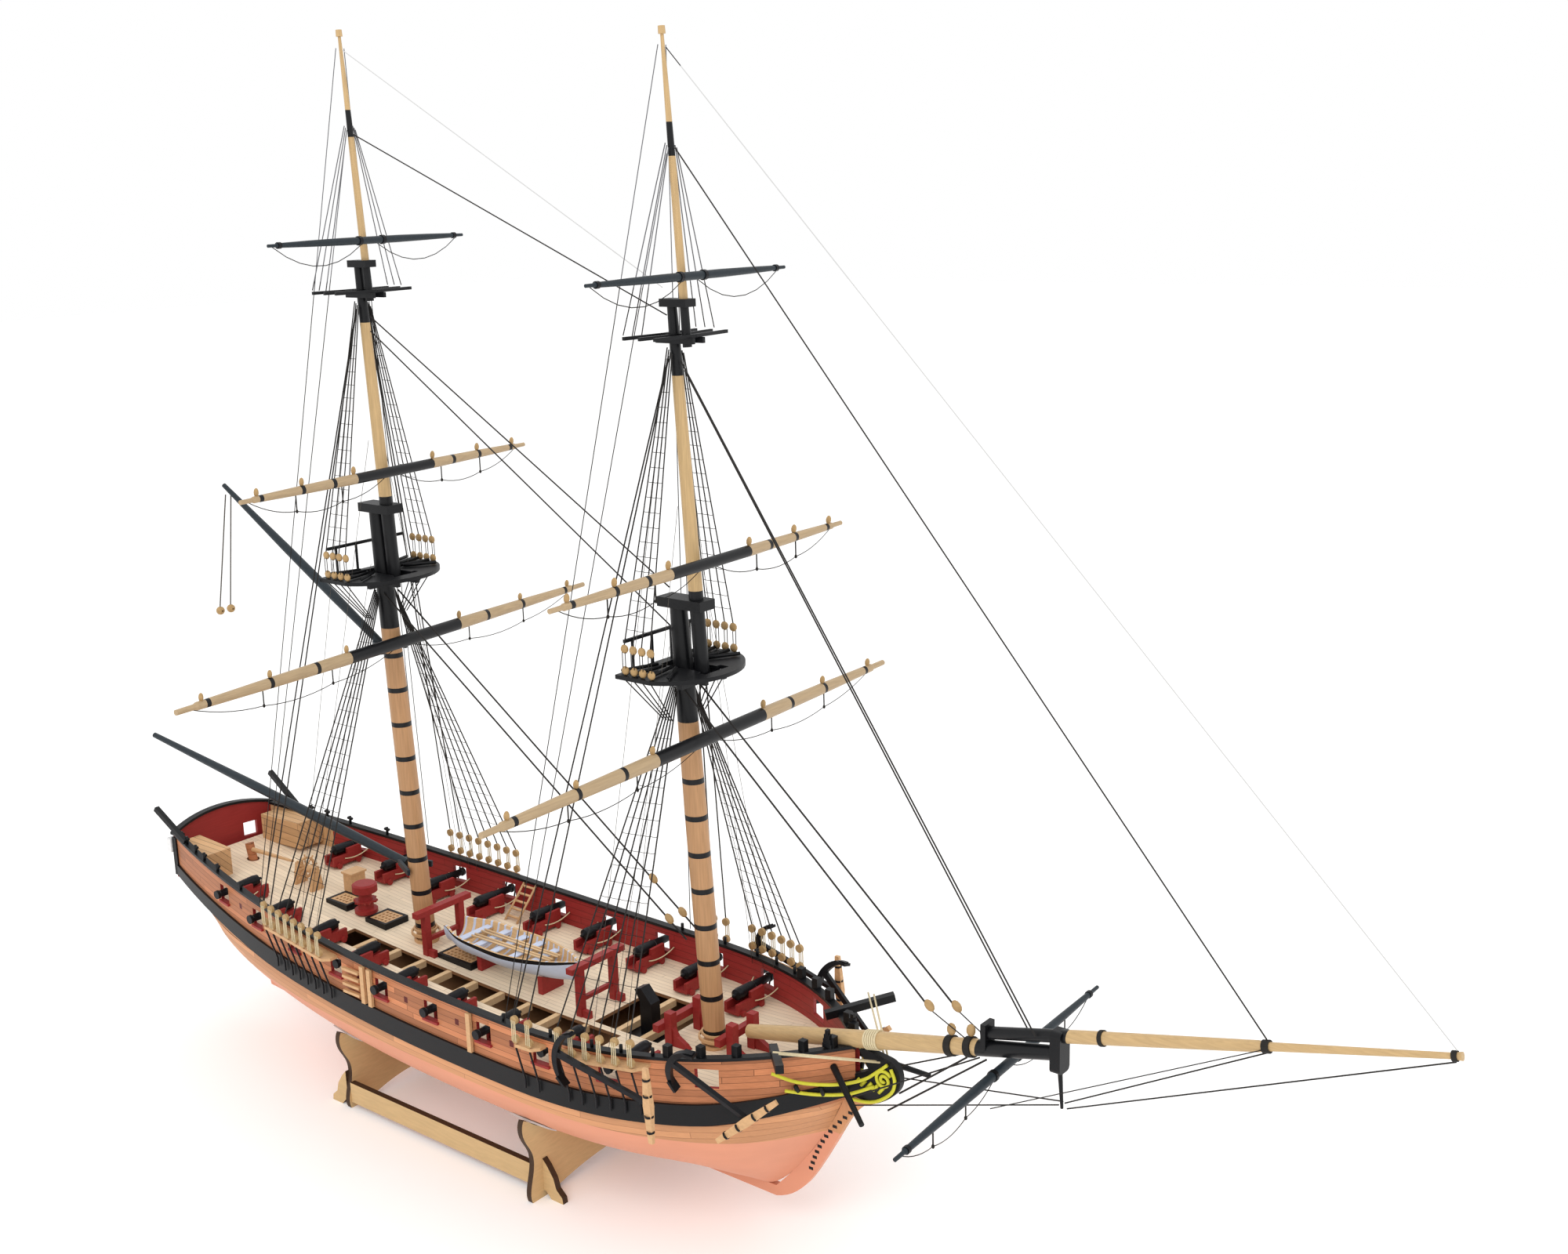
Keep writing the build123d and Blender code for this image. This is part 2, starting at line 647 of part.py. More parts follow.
with BuildPart() as steering_wheel:
    rod((POST_X[0] - 1.6, 0, WHEEL_Z), (POST_X[1] + 1.6, 0, WHEEL_Z), SPINDLE_R)
    rod((-233.6, 0, WHEEL_Z), (-230.2, 0, WHEEL_Z), 2.1)
    rod((WHEEL_X - 1.0, 0, WHEEL_Z), (WHEEL_X + 1.0, 0, WHEEL_Z), 1.6)
    with BuildSketch(Plane.YZ.offset(WHEEL_X - 0.7)):
        with Locations((0, WHEEL_Z)):
            Circle(5.9)
            Circle(4.9, mode=Mode.SUBTRACT)
    extrude(amount=1.4)
    for i in range(8):
        angle = i * pi / 4
        tip = (WHEEL_X, WHEEL_R * cos(angle), WHEEL_Z + WHEEL_R * sin(angle))
        rod((WHEEL_X, 0, WHEEL_Z), tip, 0.45)
finish(steering_wheel.part, "steering_wheel")

RUDDER_TOP_Z = 96.5
BLADE_TOP_Z = 69.5
with BuildPart() as rudder:
    blade = [(RUDDER_FOOT_X - 0.2, KEEL_Z + 0.3), (-276.6, KEEL_Z + 1.2), (-279.6, 27.5), (-279.4, 40.0),
             (rudder_x(BLADE_TOP_Z) - 7.0, BLADE_TOP_Z - 4), (rudder_x(BLADE_TOP_Z) - 4.5, BLADE_TOP_Z),
             (rudder_x(BLADE_TOP_Z) - 0.2, BLADE_TOP_Z)]
    plate_xz(blade, -1.3, 1.3)
    low_z, blade_z = KEEL_Z + 0.3, BLADE_TOP_Z
    rod((rudder_x(low_z), 0, low_z), (rudder_x(blade_z), 0, blade_z), 1.3)
    rod((rudder_x(blade_z - 5), 0, blade_z - 5), (rudder_x(RUDDER_TOP_Z), 0, RUDDER_TOP_Z), STOCK_R)
finish(rudder.part, "rudder")

TILLER_Z = 93.2
with BuildPart() as tiller:
    rod((rudder_x(TILLER_Z), 0, TILLER_Z), (-247.5, 0, TILLER_Z + 1.2), 1.3, 0.7)
    add(rudder.part, mode=Mode.SUBTRACT)
finish(tiller.part, "tiller")

CAPSTAN_X = -187.5
CAPSTAN_BASE = deck_z(CAPSTAN_X) + 0.8
with BuildPart() as capstan:
    with BuildSketch(Plane.XZ):
        with BuildLine():
            Polyline((CAPSTAN_X, CAPSTAN_BASE + 0.1), (CAPSTAN_X + 6.0, CAPSTAN_BASE + 0.1),
                     (CAPSTAN_X + 6.0, CAPSTAN_BASE + 2.0), (CAPSTAN_X + 4.2, CAPSTAN_BASE + 2.4),
                     (CAPSTAN_X + 3.2, CAPSTAN_BASE + 10.8), (CAPSTAN_X + 6.5, CAPSTAN_BASE + 11.6),
                     (CAPSTAN_X + 6.5, CAPSTAN_BASE + 15.2), (CAPSTAN_X + 5.4, CAPSTAN_BASE + 16.0),
                     (CAPSTAN_X, CAPSTAN_BASE + 16.0), close=True)
        make_face()
    revolve(axis=Axis((CAPSTAN_X, 0, 0), (0, 0, 1)))
    for i in range(6):
        angle = i * pi / 3
        reach = Vector(cos(angle), sin(angle), 0)
        beam((CAPSTAN_X, 0, CAPSTAN_BASE + 6.4), Vector(CAPSTAN_X, 0, CAPSTAN_BASE + 6.4) + reach * 5.0, 8.0,
             1.1)
finish(capstan.part, "capstan")

# ---------------------------------------------------------------- guns
CARRIAGE = (19.0, 8.4)
GUN_Z_DROP = 8.6
MUZZLE_OUT = 5.0
MUZZLE_IN = 0.5          # guns under the channels are run in, clear of the chainplates
CHANNELS = [(-192.5, -137.0, 7.6, 3.6), (16.0, 57.5, 7.2, 3.4), (-9.0, 6.0, 6.6, 4.2)]   # ends, width, drop


def run_out(x):
    """How far a gun's muzzle stands out from the side."""
    under_channel = any(start - 2 < x < end + 2 for start, end, _, _ in CHANNELS)
    return MUZZLE_IN if under_channel else MUZZLE_OUT


with BuildPart() as gun_barrels:
    for x in gun_x:
        for side in (1, -1):
            z = rail_z(x) - GUN_Z_DROP
            edge = half_breadth(x)
            breech = (x, side * (edge + run_out(x) - 27.5), z + 0.3)
            muzzle = (x, side * (edge + run_out(x)), z)
            turned(breech, muzzle, [(0.0, 0.7), (0.05, 0.9), (0.08, 2.6), (0.16, 2.9), (0.5, 2.5), (0.52,
                                                                                                    2.2),
                                    (0.92, 1.8), (0.95, 2.3), (1.0, 2.2)])
finish(gun_barrels.part, "gun_barrels")

with BuildPart() as gun_carriages:
    for x in gun_x:
        for side in (1, -1):
            base = deck_z(x)
            edge = half_breadth(x) - SIDE_T
            z = rail_z(x) - GUN_Z_DROP
            inset = 3.2 + MUZZLE_OUT - run_out(x)
            near, far = side * (edge - inset), side * (edge - inset - CARRIAGE[0])
            slab((x - 4.2, x + 4.2), (near, far), (base + 1.3, base + 2.6))
            for cheek in (1, -1):
                middle = x + cheek * 3.4
                slab((middle - 0.8, middle + 0.8), (near, (near + far) / 2), (base + 2.6, z + 0.6))
                slab((middle - 0.8, middle + 0.8), ((near + far) / 2, far), (base + 2.6, z - 2.4))
                for truck in (0.16, 0.84):
                    y = near + (far - near) * truck
                    rod((x + cheek * 4.2, y, base + 1.5), (x + cheek * 5.6, y, base + 1.5), 1.5)
    add(gun_barrels.part, mode=Mode.SUBTRACT)
    add(deck.part, mode=Mode.SUBTRACT)
finish(gun_carriages.part, "gun_carriages")

# ---------------------------------------------------------------- channels and their ironwork
MAIN_DEADEYE_X = [-188.5 + 6.7 * i for i in range(8)]
FORE_DEADEYE_X = [19.5 + 6.9 * i for i in range(6)]
SMALL_DEADEYE_X = [-5.5, 2.5]
DEADEYE_R = 1.9
DEADEYE_T = 1.5
LANYARD = 9.4
CHANNEL_T = 1.5


def channel_for(x):
    for channel in CHANNELS:
        if channel[0] <= x <= channel[1]:
            return channel
    raise ValueError(x)


def channel_top(x):
    start, end, _, drop = channel_for(x)
    share = (x - start) / (end - start)
    return rail_z(start) * (1 - share) + rail_z(end) * share - drop


def deadeye_y(x):
    return half_breadth(x) + channel_for(x)[2] - 0.4


def channel_board(start, end, width, side):
    """Shelf on the ship's side that spreads the shrouds."""
    inboard = [(start, half_breadth(start) - 1), (end, half_breadth(end) - 1)]
    outboard = [(end, half_breadth(end) + width * 0.55), (end - 3, half_breadth(end - 3) + width),
                (start + 3, half_breadth(start + 3) + width), (start, half_breadth(start) + width * 0.55)]
    with BuildPart() as board:
        with BuildSketch(Plane.XZ):
            with BuildLine():
                Polyline((start, channel_top(start)), (end, channel_top(end)),
                         (end, channel_top(end) - CHANNEL_T), (start,
                                                               channel_top(start) - CHANNEL_T), close=True)
            make_face()
        extrude(amount=WIDE, both=True)
        with BuildSketch():
            with BuildLine():
                Polyline(*[(x, side * y) for x, y in inboard + outboard], close=True)
            make_face()
        extrude(amount=TALL, mode=Mode.INTERSECT)
        add(side_ring(0, 8, side), mode=Mode.SUBTRACT)
    return board.part


boards = [channel_board(start, end, width, side) for start, end, width, _ in CHANNELS for side in (1, -1)]

ALL_DEADEYE_X = MAIN_DEADEYE_X + FORE_DEADEYE_X + SMALL_DEADEYE_X
with BuildPart() as deadeyes:
    for x in ALL_DEADEYE_X:
        for side in (1, -1):
            for lift in (DEADEYE_R + 0.5, DEADEYE_R + LANYARD):
                z = channel_top(x) + lift
                rod((x, side * (deadeye_y(x) - DEADEYE_T / 2), z), (x, side * (deadeye_y(x) + DEADEYE_T / 2),
                                                                    z),
                    DEADEYE_R)
finish(deadeyes.part, "deadeyes")

with BuildPart() as chainplates:
    for x in ALL_DEADEYE_X:
        for side in (1, -1):
            top = channel_top(x) - CHANNEL_T - 0.5
            low_z = wale_top_z(x) - 1.0
            y_top, y_low = deadeye_y(x), half_breadth(x) + WALE_T + 0.9
            rod((x, side * y_top, top), (x, side * y_low, low_z), 0.45)
            rod((x, side * y_low, low_z), (x, side * y_low, low_z - 4.5), 0.5)
finish(chainplates.part, "chainplates")

# ---------------------------------------------------------------- bow
with BuildPart() as head_rails:
    for side in (1, -1):
        upper = [(104.0, 23.0, 85.0), (118.0, 14.5, 83.2), (130.0, 6.5, 86.5), (140.5, 2.6, 92.5)]
        lower = [(112.0, 16.5, 77.5), (126.0, 7.2, 77.5), (139.0, 2.6, 80.5)]
        for route in (upper, lower):
            for start, end in zip(route, route[1:]):
                a, b = ((x, side * y, z) for x, y, z in (start, end))
                rod(a, b, 0.9)
            for x, y, z in route[1:-1]:
                with Locations((x, side * y, z)):
                    Sphere(0.9)
    for wall in (side_ring(-WALE_T, 40, 1), side_ring(-WALE_T, 40, -1)):
        add(wall, mode=Mode.SUBTRACT)
    add(keel_and_stem.part, mode=Mode.SUBTRACT)
finish(head_rails.part, "head_rails")

CATHEAD = ((98.0, 18.0, 95.6), (119.0, 40.0, 101.5))
BOOMKIN = ((121.5, 8.0, 90.0), (147.5, 24.5, 79.5))
TIMBERHEAD_X = [64.0, 77.0, 90.0, 112.0, 121.0]
with BuildPart() as bow_timbers:
    for side in (1, -1):
        inner, outer = ((x, side * y, z) for x, y, z in CATHEAD)
        beam(inner, outer, 3.4, 3.4)
        inner, outer = ((x, side * y, z) for x, y, z in BOOMKIN)
        rod(inner, outer, 1.5, 1.1)
        for x in TIMBERHEAD_X:
            y = half_breadth(x) - 1.2
            slab((x - 1.5, x + 1.5), (side * y - 1.5, side * y + 1.5), (rail_z(x), rail_z(x) + 5.0))
finish(trimmed(bow_timbers.part, rail_cap.part, bulwark_port, bulwark_starboard, head_rails.part),
       "bow_timbers")

ANCHORS = [
    # crown, ring end of the shank, direction of the arms, direction of the stock
    ((21.0, 67.5, 91.0), (72.0, 63.5, 80.6), (0.05, 0.0, 1.0), (-0.05, 0.0, 1.0)),
    ((72.0, 52.0, 95.5), (106.0, 42.5, 75.0), (0.55, 0.15, 0.85), (0.75, -0.3, 0.65)),
]
ARM_SPAN = 13.5
STOCK_SPAN = 16.5


def shifted(point, direction, distance):
    """Point moved along a direction."""
    return tuple(Vector(*point) + Vector(*direction).normalized() * distance)


def anchor_iron(crown, ring_end, arms):
    """Shank and curved arms cut from plate, with broad flukes."""
    direction, length = along(crown, ring_end)
    plane = Plane(origin=crown, x_dir=direction, z_dir=direction.cross(Vector(*arms)))
    with BuildSketch(plane) as shank:
        with BuildLine():
            Polyline((-1.2, -1.3), (length, -0.9), (length, 0.9), (-1.2, 1.3), close=True)
        make_face()
    extrude(shank.sketch, amount=1.0, both=True)
    with BuildSketch(plane) as bow:
        with BuildLine():
            outer = ThreePointArc((6.2, -ARM_SPAN), (-1.8, 0), (6.2, ARM_SPAN))
            inner = ThreePointArc((6.8, -ARM_SPAN + 1.0), (1.0, 0), (6.8, ARM_SPAN - 1.0))
            Line(outer @ 0, inner @ 0)
            Line(outer @ 1, inner @ 1)
        make_face()
    extrude(bow.sketch, amount=1.1, both=True)
    for side in (1, -1):
        with BuildSketch(plane) as palm:
            with BuildLine():
                Polyline((3.0, side * 9.4), (7.6, side * 12.2), (6.9, side * 13.2), (2.3, side * 10.4),
                         close=True)
            make_face()
        extrude(palm.sketch, amount=2.0, both=True)


with BuildPart() as anchors:
    for crown, ring_end, arms, _ in ANCHORS:
        for side in (1, -1):
            flip = (1, side, 1)
            anchor_iron(*(tuple(a * b for a, b in zip(point, flip)) for point in (crown, ring_end, arms)))
finish(anchors.part, "anchors")

with BuildPart() as anchor_stocks:
    for _, ring_end, _, stock in ANCHORS:
        for side in (1, -1):
            middle = (ring_end[0] - 1.5, side * (ring_end[1] + 1.7), ring_end[2] + 0.8)
            lean = (stock[0], side * stock[1], stock[2])
            for way in (1, -1):
                direction = Vector(*lean).normalized() * way
                with BuildSketch(Plane(origin=middle, x_dir=(0, 1, 0), z_dir=direction)) as root:
                    Rectangle(2.6, 4.0)
                tip = Plane(origin=shifted(middle, tuple(direction), STOCK_SPAN), x_dir=(0, 1, 0),
                            z_dir=direction)
                with BuildSketch(tip) as end_face:
                    Rectangle(1.6, 2.2)
                loft([root.sketch, end_face.sketch])
    add(anchors.part, mode=Mode.SUBTRACT)
finish(anchor_stocks.part, "anchor_stocks")

with BuildPart() as quarter_davits:
    for side in (1, -1):
        beam((-290.5, side * 36.0, 107.5), (-314.0, side * 37.0, 122.0), 2.6, 2.6)
    for side in (1, -1):
        slab((STERN_X - 1.6, STERN_X + 1.6), (side * (stern_half + 0.2), side * (stern_half + 1.4)), (84.0,
                                                                                                      105.5))
finish(trimmed(quarter_davits.part, rail_cap.part, bulwark_port, bulwark_starboard, transom.part,
               hull_planking.part, wales.part), "quarter_davits")

FENDER_X = [-116.0, -110.8, -41.0]
STEP_X = (-130.5, -118.6)
with BuildPart() as channels_and_steps:
    for board in boards:
        add(board)
    for x in FENDER_X:
        for side in (1, -1):
            y = half_breadth(x)
            slab((x - 1.3, x + 1.3), (side * (y + 0.5), side * (y + 2.0)), (wale_top_z(x) + 0.4,
                                                                            rail_z(x) - 2.0))
    for side in (1, -1):
        for i in range(4):
            z = wale_top_z(-120) + 2.4 + i * 3.8
            y = half_breadth(-120)
            slab(STEP_X, (side * (y + 0.6), side * (y + 2.3)), (z, z + 1.3))
finish(channels_and_steps.part, "channels_and_steps")

# ---------------------------------------------------------------- ship's boat
BOAT_X = (-118.0, -31.0)
BOAT_HALF = 13.5
BOAT_KEEL_Z = 80.4
BOAT_DEPTH = 10.5
BOAT_ROCKER = 2.0
BOAT_SHEER = 1.6
BOAT_STATIONS = [0.0, 0.1, 0.25, 0.45, 0.65, 0.8, 0.9, 0.965, 1.0]


def boat_body(shrink, lift, top_gap):
    """Loft of the boat's hull, or of its hollow when shrink is given."""
    with BuildPart() as body:
        for share in BOAT_STATIONS:
            x = BOAT_X[0] + (BOAT_X[1] - BOAT_X[0]) * share
            swell = 1 - abs(share - 0.42) ** 2.4 / (0.42**2.4 * 2.2 if share < 0.42 else 0.58**2.4)
            half = max(BOAT_HALF * swell, 0.9) - shrink
            low = BOAT_KEEL_Z + BOAT_ROCKER * abs(2 * share - 0.9) ** 3 + lift
            high = BOAT_KEEL_Z + BOAT_DEPTH + BOAT_SHEER * abs(2 * share - 0.9) ** 2 - top_gap
            if half < 0.4:
                half = 0.4
            with BuildSketch(Plane(origin=(x, 0, 0), x_dir=(0, 1, 0), z_dir=(1, 0, 0))):
                with BuildLine():
                    port = Spline((0.3, low), (half * 0.62, low + (high - low) * 0.16),
                                  (half * 0.9, low + (high - low) * 0.5), (half, high))
                    starboard = Spline((-0.3, low), (-half * 0.62, low + (high - low) * 0.16),
                                       (-half * 0.9, low + (high - low) * 0.5), (-half, high))
                    Line(port @ 0, starboard @ 0)
                    Line(port @ 1, starboard @ 1)
                make_face()
        loft()
    return body.part


boat_outside = boat_body(0.0, 0.0, 0.0)
boat_hollow = boat_body(1.1, 1.3, -1.2)
with BuildPart() as boat_shell:
    add(boat_outside)
    add(boat_hollow, mode=Mode.SUBTRACT)
THWART_X = [-104, -92, -80, -68, -56]
with BuildPart() as boat:
    add(boat_shell.part)
    for x in THWART_X:
        slab((x - 2.0, x + 2.0), (-BOAT_HALF, BOAT_HALF), (BOAT_KEEL_Z + 7.4, BOAT_KEEL_Z + 8.2))
    add(boat_outside, mode=Mode.INTERSECT)
finish(boat.part, "ships_boat")

with BuildPart() as boat_chocks:
    for x in (-94.0, -52.0):
        base = deck_z(x) + (COAMING_H if MAIN_HATCH[0][0] < x < MAIN_HATCH[0][1] else 0)
        slab((x - 1.5, x + 1.5), (-7.0, 7.0), (base + 0.1, BOAT_KEEL_Z + 1.6))
    add(boat_outside.moved(Location((0, 0, -0.3))), mode=Mode.SUBTRACT)
    add(boat_outside, mode=Mode.SUBTRACT)
finish(trimmed(boat_chocks.part, deck.part, gratings.part, hatch_coamings.part), "boat_chocks")

# ---------------------------------------------------------------- masts and bowsprit
LOWER_R = 5.0
MAST_STEP_Z = 66.0        # the masts step on the lower deck
MAIN_TOP_Z = 266.0
FORE_TOP_Z = 247.5
MAIN_CAP_Z = 299.0
FORE_CAP_Z = 276.5
MAIN_CROSSTREE_Z = 399.0
FORE_CROSSTREE_Z = 384.5
MAIN_TOPMAST_CAP_Z = 413.5
FORE_TOPMAST_CAP_Z = 399.5
MAIN_TRUCK_Z = 516.0
FORE_TRUCK_Z = 504.0
MAIN_POLE_AHEAD = 13.4
FORE_POLE_AHEAD = 16.9
TOP_T = 1.8


def mast_point(mast, z, ahead=0.0):
    return (mast_x(mast, z, ahead), 0, z)


def lower_mast(mast, foot, top, cap):
    """Lower mast from its step on the lower deck to the cap."""
    profile = [(0, 4.6), (0.12, LOWER_R), (0.55, 4.9), ((top - 6 - foot) / (cap - foot), 4.3),
               ((top - 2 - foot) / (cap - foot), 4.3), (1, 3.6)]
    turned(mast_point(mast, foot), mast_point(mast, cap - 0.1), profile)


def topmast(mast, heel, cap, crosstree, ahead):
    profile = [(0, 3.1), (0.25, 3.1), ((crosstree - 4 - heel) / (cap - heel), 2.3), (1, 2.0)]
    turned(mast_point(mast, heel, ahead), mast_point(mast, cap - 0.1, ahead), profile)


def pole_mast(mast, heel, truck, ahead):
    """Topgallant mast and royal pole with its truck."""
    profile = [(0, 1.9), (0.55, 1.5), (0.8, 1.1), (0.975, 0.7), (0.976, 1.5), (1, 1.4)]
    turned(mast_point(mast, heel, ahead), mast_point(mast, truck, ahead), profile)


with BuildPart() as main_lower_mast:
    lower_mast(MAIN_MAST, MAST_STEP_Z, MAIN_TOP_Z, MAIN_CAP_Z)
finish(main_lower_mast.part, "main_lower_mast")
with BuildPart() as fore_lower_mast:
    lower_mast(FORE_MAST, MAST_STEP_Z, FORE_TOP_Z, FORE_CAP_Z)
finish(fore_lower_mast.part, "fore_lower_mast")

with BuildPart() as main_topmast:
    topmast(MAIN_MAST, MAIN_TOP_Z - 4, MAIN_TOPMAST_CAP_Z, MAIN_CROSSTREE_Z, MAIN_TOPMAST_AHEAD)
    pole_mast(MAIN_MAST, MAIN_CROSSTREE_Z - 4, MAIN_TRUCK_Z, MAIN_POLE_AHEAD)
finish(main_topmast.part, "main_topmast")
with BuildPart() as fore_topmast:
    topmast(FORE_MAST, FORE_TOP_Z - 4, FORE_TOPMAST_CAP_Z, FORE_CROSSTREE_Z, FORE_TOPMAST_AHEAD)
    pole_mast(FORE_MAST, FORE_CROSSTREE_Z - 4, FORE_TRUCK_Z, FORE_POLE_AHEAD)
finish(fore_topmast.part, "fore_topmast")
all_masts = [main_lower_mast.part, fore_lower_mast.part, main_topmast.part, fore_topmast.part]

TOP_HALF = 28.0
TOP_AFT = 13.0
TOP_FORE = 25.0
TOP_DEADEYE_X = [-8.5, -3.7, 1.1, 5.9]
TOP_DEADEYE_Y = 26.3


def mast_top(mast, z, ahead):
    """D-shaped platform with a lubber's hole, on its trestle trees."""
    middle = mast_x(mast, z)
    plane = Plane.XY.offset(z - TOP_T)
    with BuildSketch(plane) as plan:
        with BuildLine():
            Line((middle - TOP_AFT, -TOP_HALF), (middle - TOP_AFT, TOP_HALF))
            Line((middle - TOP_AFT, TOP_HALF), (middle + 6, TOP_HALF))
            Spline((middle + 6, TOP_HALF), (middle + 21, 15), (middle + TOP_FORE, 0), (middle + 21, -15),
                   (middle + 6, -TOP_HALF))
            Line((middle + 6, -TOP_HALF), (middle - TOP_AFT, -TOP_HALF))
        make_face()
        with Locations((middle + ahead / 2, 0)):
            Rectangle(22 + ahead / 2, 15.0, mode=Mode.SUBTRACT)
    extrude(plan.sketch, amount=TOP_T, dir=(0, 0, 1))
    for side in (1, -1):
        slab((middle - 12, middle + 18), (side * 4.9, side * 6.9), (z - TOP_T - 3.4, z - TOP_T))
        slab((middle - 11.2, middle + 14), (side * 5.2, side * 8.0), (z - TOP_T, z))
    for x in (middle - 8.5, middle + ahead + 5.2):
        slab((x - 1.2, x + 1.2), (-20, 20), (z - TOP_T - 2.2, z - TOP_T))
    slab((middle - 12.4, middle - 11.2), (-TOP_HALF + 5, TOP_HALF - 5), (z + 12.5, z + 13.9))
    for y in (-18, -6, 6, 18):
        slab((middle - 12.2, middle - 11.4), (y - 0.5, y + 0.5), (z, z + 12.5))


with BuildPart() as mast_tops:
    mast_top(MAIN_MAST, MAIN_TOP_Z, MAIN_TOPMAST_AHEAD)
    mast_top(FORE_MAST, FORE_TOP_Z, FORE_TOPMAST_AHEAD)
    for mast in all_masts:
        add(mast, mode=Mode.SUBTRACT)
finish(mast_tops.part, "mast_tops")


def mast_cap(mast, z, ahead, front, back, half, thick):
    """Block that joins the head of one mast to the mast above."""
    middle = mast_x(mast, z)
    slab((middle - back, middle + ahead + front), (-half, half), (z - thick, z + 0.2))


def crosstrees(mast, z, ahead):
    """Trestle trees and curved cross arms at a topmast head."""
    middle = mast_x(mast, z, ahead)
    for side in (1, -1):
        slab((middle - 7, middle + 13), (side * 2.3, side * 3.8), (z - 2.4, z))
    for offset in (-5.5, 2.9, 11.0):
        for side in (1, -1):
            beam((middle + offset, 0, z + 0.7), (middle + offset - 2.0, side * 22.0, z + 0.7), 1.4, 1.4)


with BuildPart() as mast_caps:
    mast_cap(MAIN_MAST, MAIN_CAP_Z, MAIN_TOPMAST_AHEAD, 6.0, 7.5, 4.8, 4.0)
    mast_cap(FORE_MAST, FORE_CAP_Z, FORE_TOPMAST_AHEAD, 6.0, 7.5, 4.8, 4.0)
    mast_cap(MAIN_MAST, MAIN_TOPMAST_CAP_Z, MAIN_POLE_AHEAD, 3.6, -MAIN_TOPMAST_AHEAD + 4.0, 3.2, 3.0)
    mast_cap(FORE_MAST, FORE_TOPMAST_CAP_Z, FORE_POLE_AHEAD, 3.6, -FORE_TOPMAST_AHEAD + 4.0, 3.2, 3.0)
    crosstrees(MAIN_MAST, MAIN_CROSSTREE_Z, MAIN_TOPMAST_AHEAD)
    crosstrees(FORE_MAST, FORE_CROSSTREE_Z, FORE_TOPMAST_AHEAD)
    for mast in all_masts:
        add(mast, mode=Mode.SUBTRACT)

JIBBOOM = ((188.6, 0.0, 121.6), (368.4, 0.0, 166.0))
with BuildPart() as bowsprit:
    turned(*BOWSPRIT, [(0, 3.0), (0.15, 3.5), (0.4, 3.7), (0.8, 3.3), (1, 2.9)])
finish(bowsprit.part, "bowsprit")
with BuildPart() as jibboom:
    turned(*JIBBOOM, [(0, 2.3), (0.02, 2.5), (0.25, 2.6), (0.62, 2.1), (0.64, 1.6), (0.98, 1.1), (1, 1.5)])
finish(jibboom.part, "jibboom")

CAP_X = 222.4
with BuildPart() as bowsprit_cap:
    with BuildSketch(Plane.YZ.offset(CAP_X - 2.4)):
        with Locations((0, 124.0)):
            RectangleRounded(7.6, 17.0, 2.0)
    extrude(amount=4.4)
    rod((CAP_X, 0, 116.5), (CAP_X + 1.0, 0, 100.5), 1.0, 0.6)
    beam((190.5, 0, 116.0), (190.5, 0, 126.6), 7.0, 2.2)
    add(bowsprit.part, mode=Mode.SUBTRACT)
    add(jibboom.part, mode=Mode.SUBTRACT)
with BuildPart() as caps_and_crosstrees:
    add(mast_caps.part)
    add(bowsprit_cap.part)
finish(caps_and_crosstrees.part, "caps_and_crosstrees")

# ---------------------------------------------------------------- yards, boom and gaff
def yard_ends(centre, half, brace):
    x, z = centre
    lean = half * sin(radians(brace))
    reach = half * cos(radians(brace))
    return (x - lean, -reach, z), (x + lean, reach, z)


def yard_profile(radius):
    return [(0, radius * 0.42), (0.035, radius * 0.45), (0.04, radius * 0.62), (0.2, radius * 0.86),
            (0.35, radius), (0.65, radius), (0.8, radius * 0.86), (0.96, radius * 0.62),
            (0.965, radius * 0.45), (1, radius * 0.42)]


YARDS = {
    "main_yard": ((-139.2, 232.6), 136.1, MAIN_BRACE, 3.0),
    "main_topsail_yard": ((-137.5, 315.7), 92.7, MAIN_BRACE, 2.4),
    "main_topgallant_yard": ((-141.6, 422.8), 61.1, MAIN_BRACE, 1.7),
    "fore_yard": ((54.3, 217.8), 136.1, FORE_BRACE, 3.0),
    "fore_topsail_yard": ((57.7, 293.1), 97.0, FORE_BRACE, 2.4),
    "fore_topgallant_yard": ((53.6, 408.7), 63.5, FORE_BRACE, 1.7),
    "spritsail_yard": ((198.6, 110.6), 81.0, FORE_BRACE, 1.9),
}
for name, (centre, half, brace, radius) in YARDS.items():
    with BuildPart() as yard:
        turned(*yard_ends(centre, half, brace), yard_profile(radius))
    finish(yard.part, name)

BOOM = ((-151.0, 0.0, 115.0), (-368.3, 0.0, 144.4))
GAFF = ((-157.0, 0.0, 228.0), (-276.1, 0.0, 297.3))


def spar_with_jaws(start, end, radius, mast, tip_radius):
    """Tapered spar with two jaws that reach round the mast."""
    turned(start, end, [(0, radius * 0.8), (0.3, radius), (0.6, radius * 0.9), (1, tip_radius)])
    x, _, z = start
    centre = mast_x(mast, z)
    for side in (1, -1):
        beam((x - 4, side * 2.0, z + 0.4), (centre + 1.5, side * (LOWER_R + 2.6), z - 0.6), 1.5, 3.0)


with BuildPart() as boom:
    spar_with_jaws(*BOOM, 2.7, MAIN_MAST, 1.5)
finish(boom.part, "boom")
with BuildPart() as gaff:
    spar_with_jaws(*GAFF, 2.4, MAIN_MAST, 1.2)
finish(gaff.part, "gaff")

# ---------------------------------------------------------------- standing rigging
SHROUD_R = 0.32
STAY_R = 0.4
HEAD_STEP = 0.9          # spacing of the lines where they gather at a masthead


def lines(spans):
    """Taut lines, one solid each: spans holds (start, end, radius)."""
    pieces = []
    for start, end, radius in spans:
        with BuildPart() as line:
            rod(start, end, radius)
        pieces.append(line.part)
    return Compound(children=pieces)


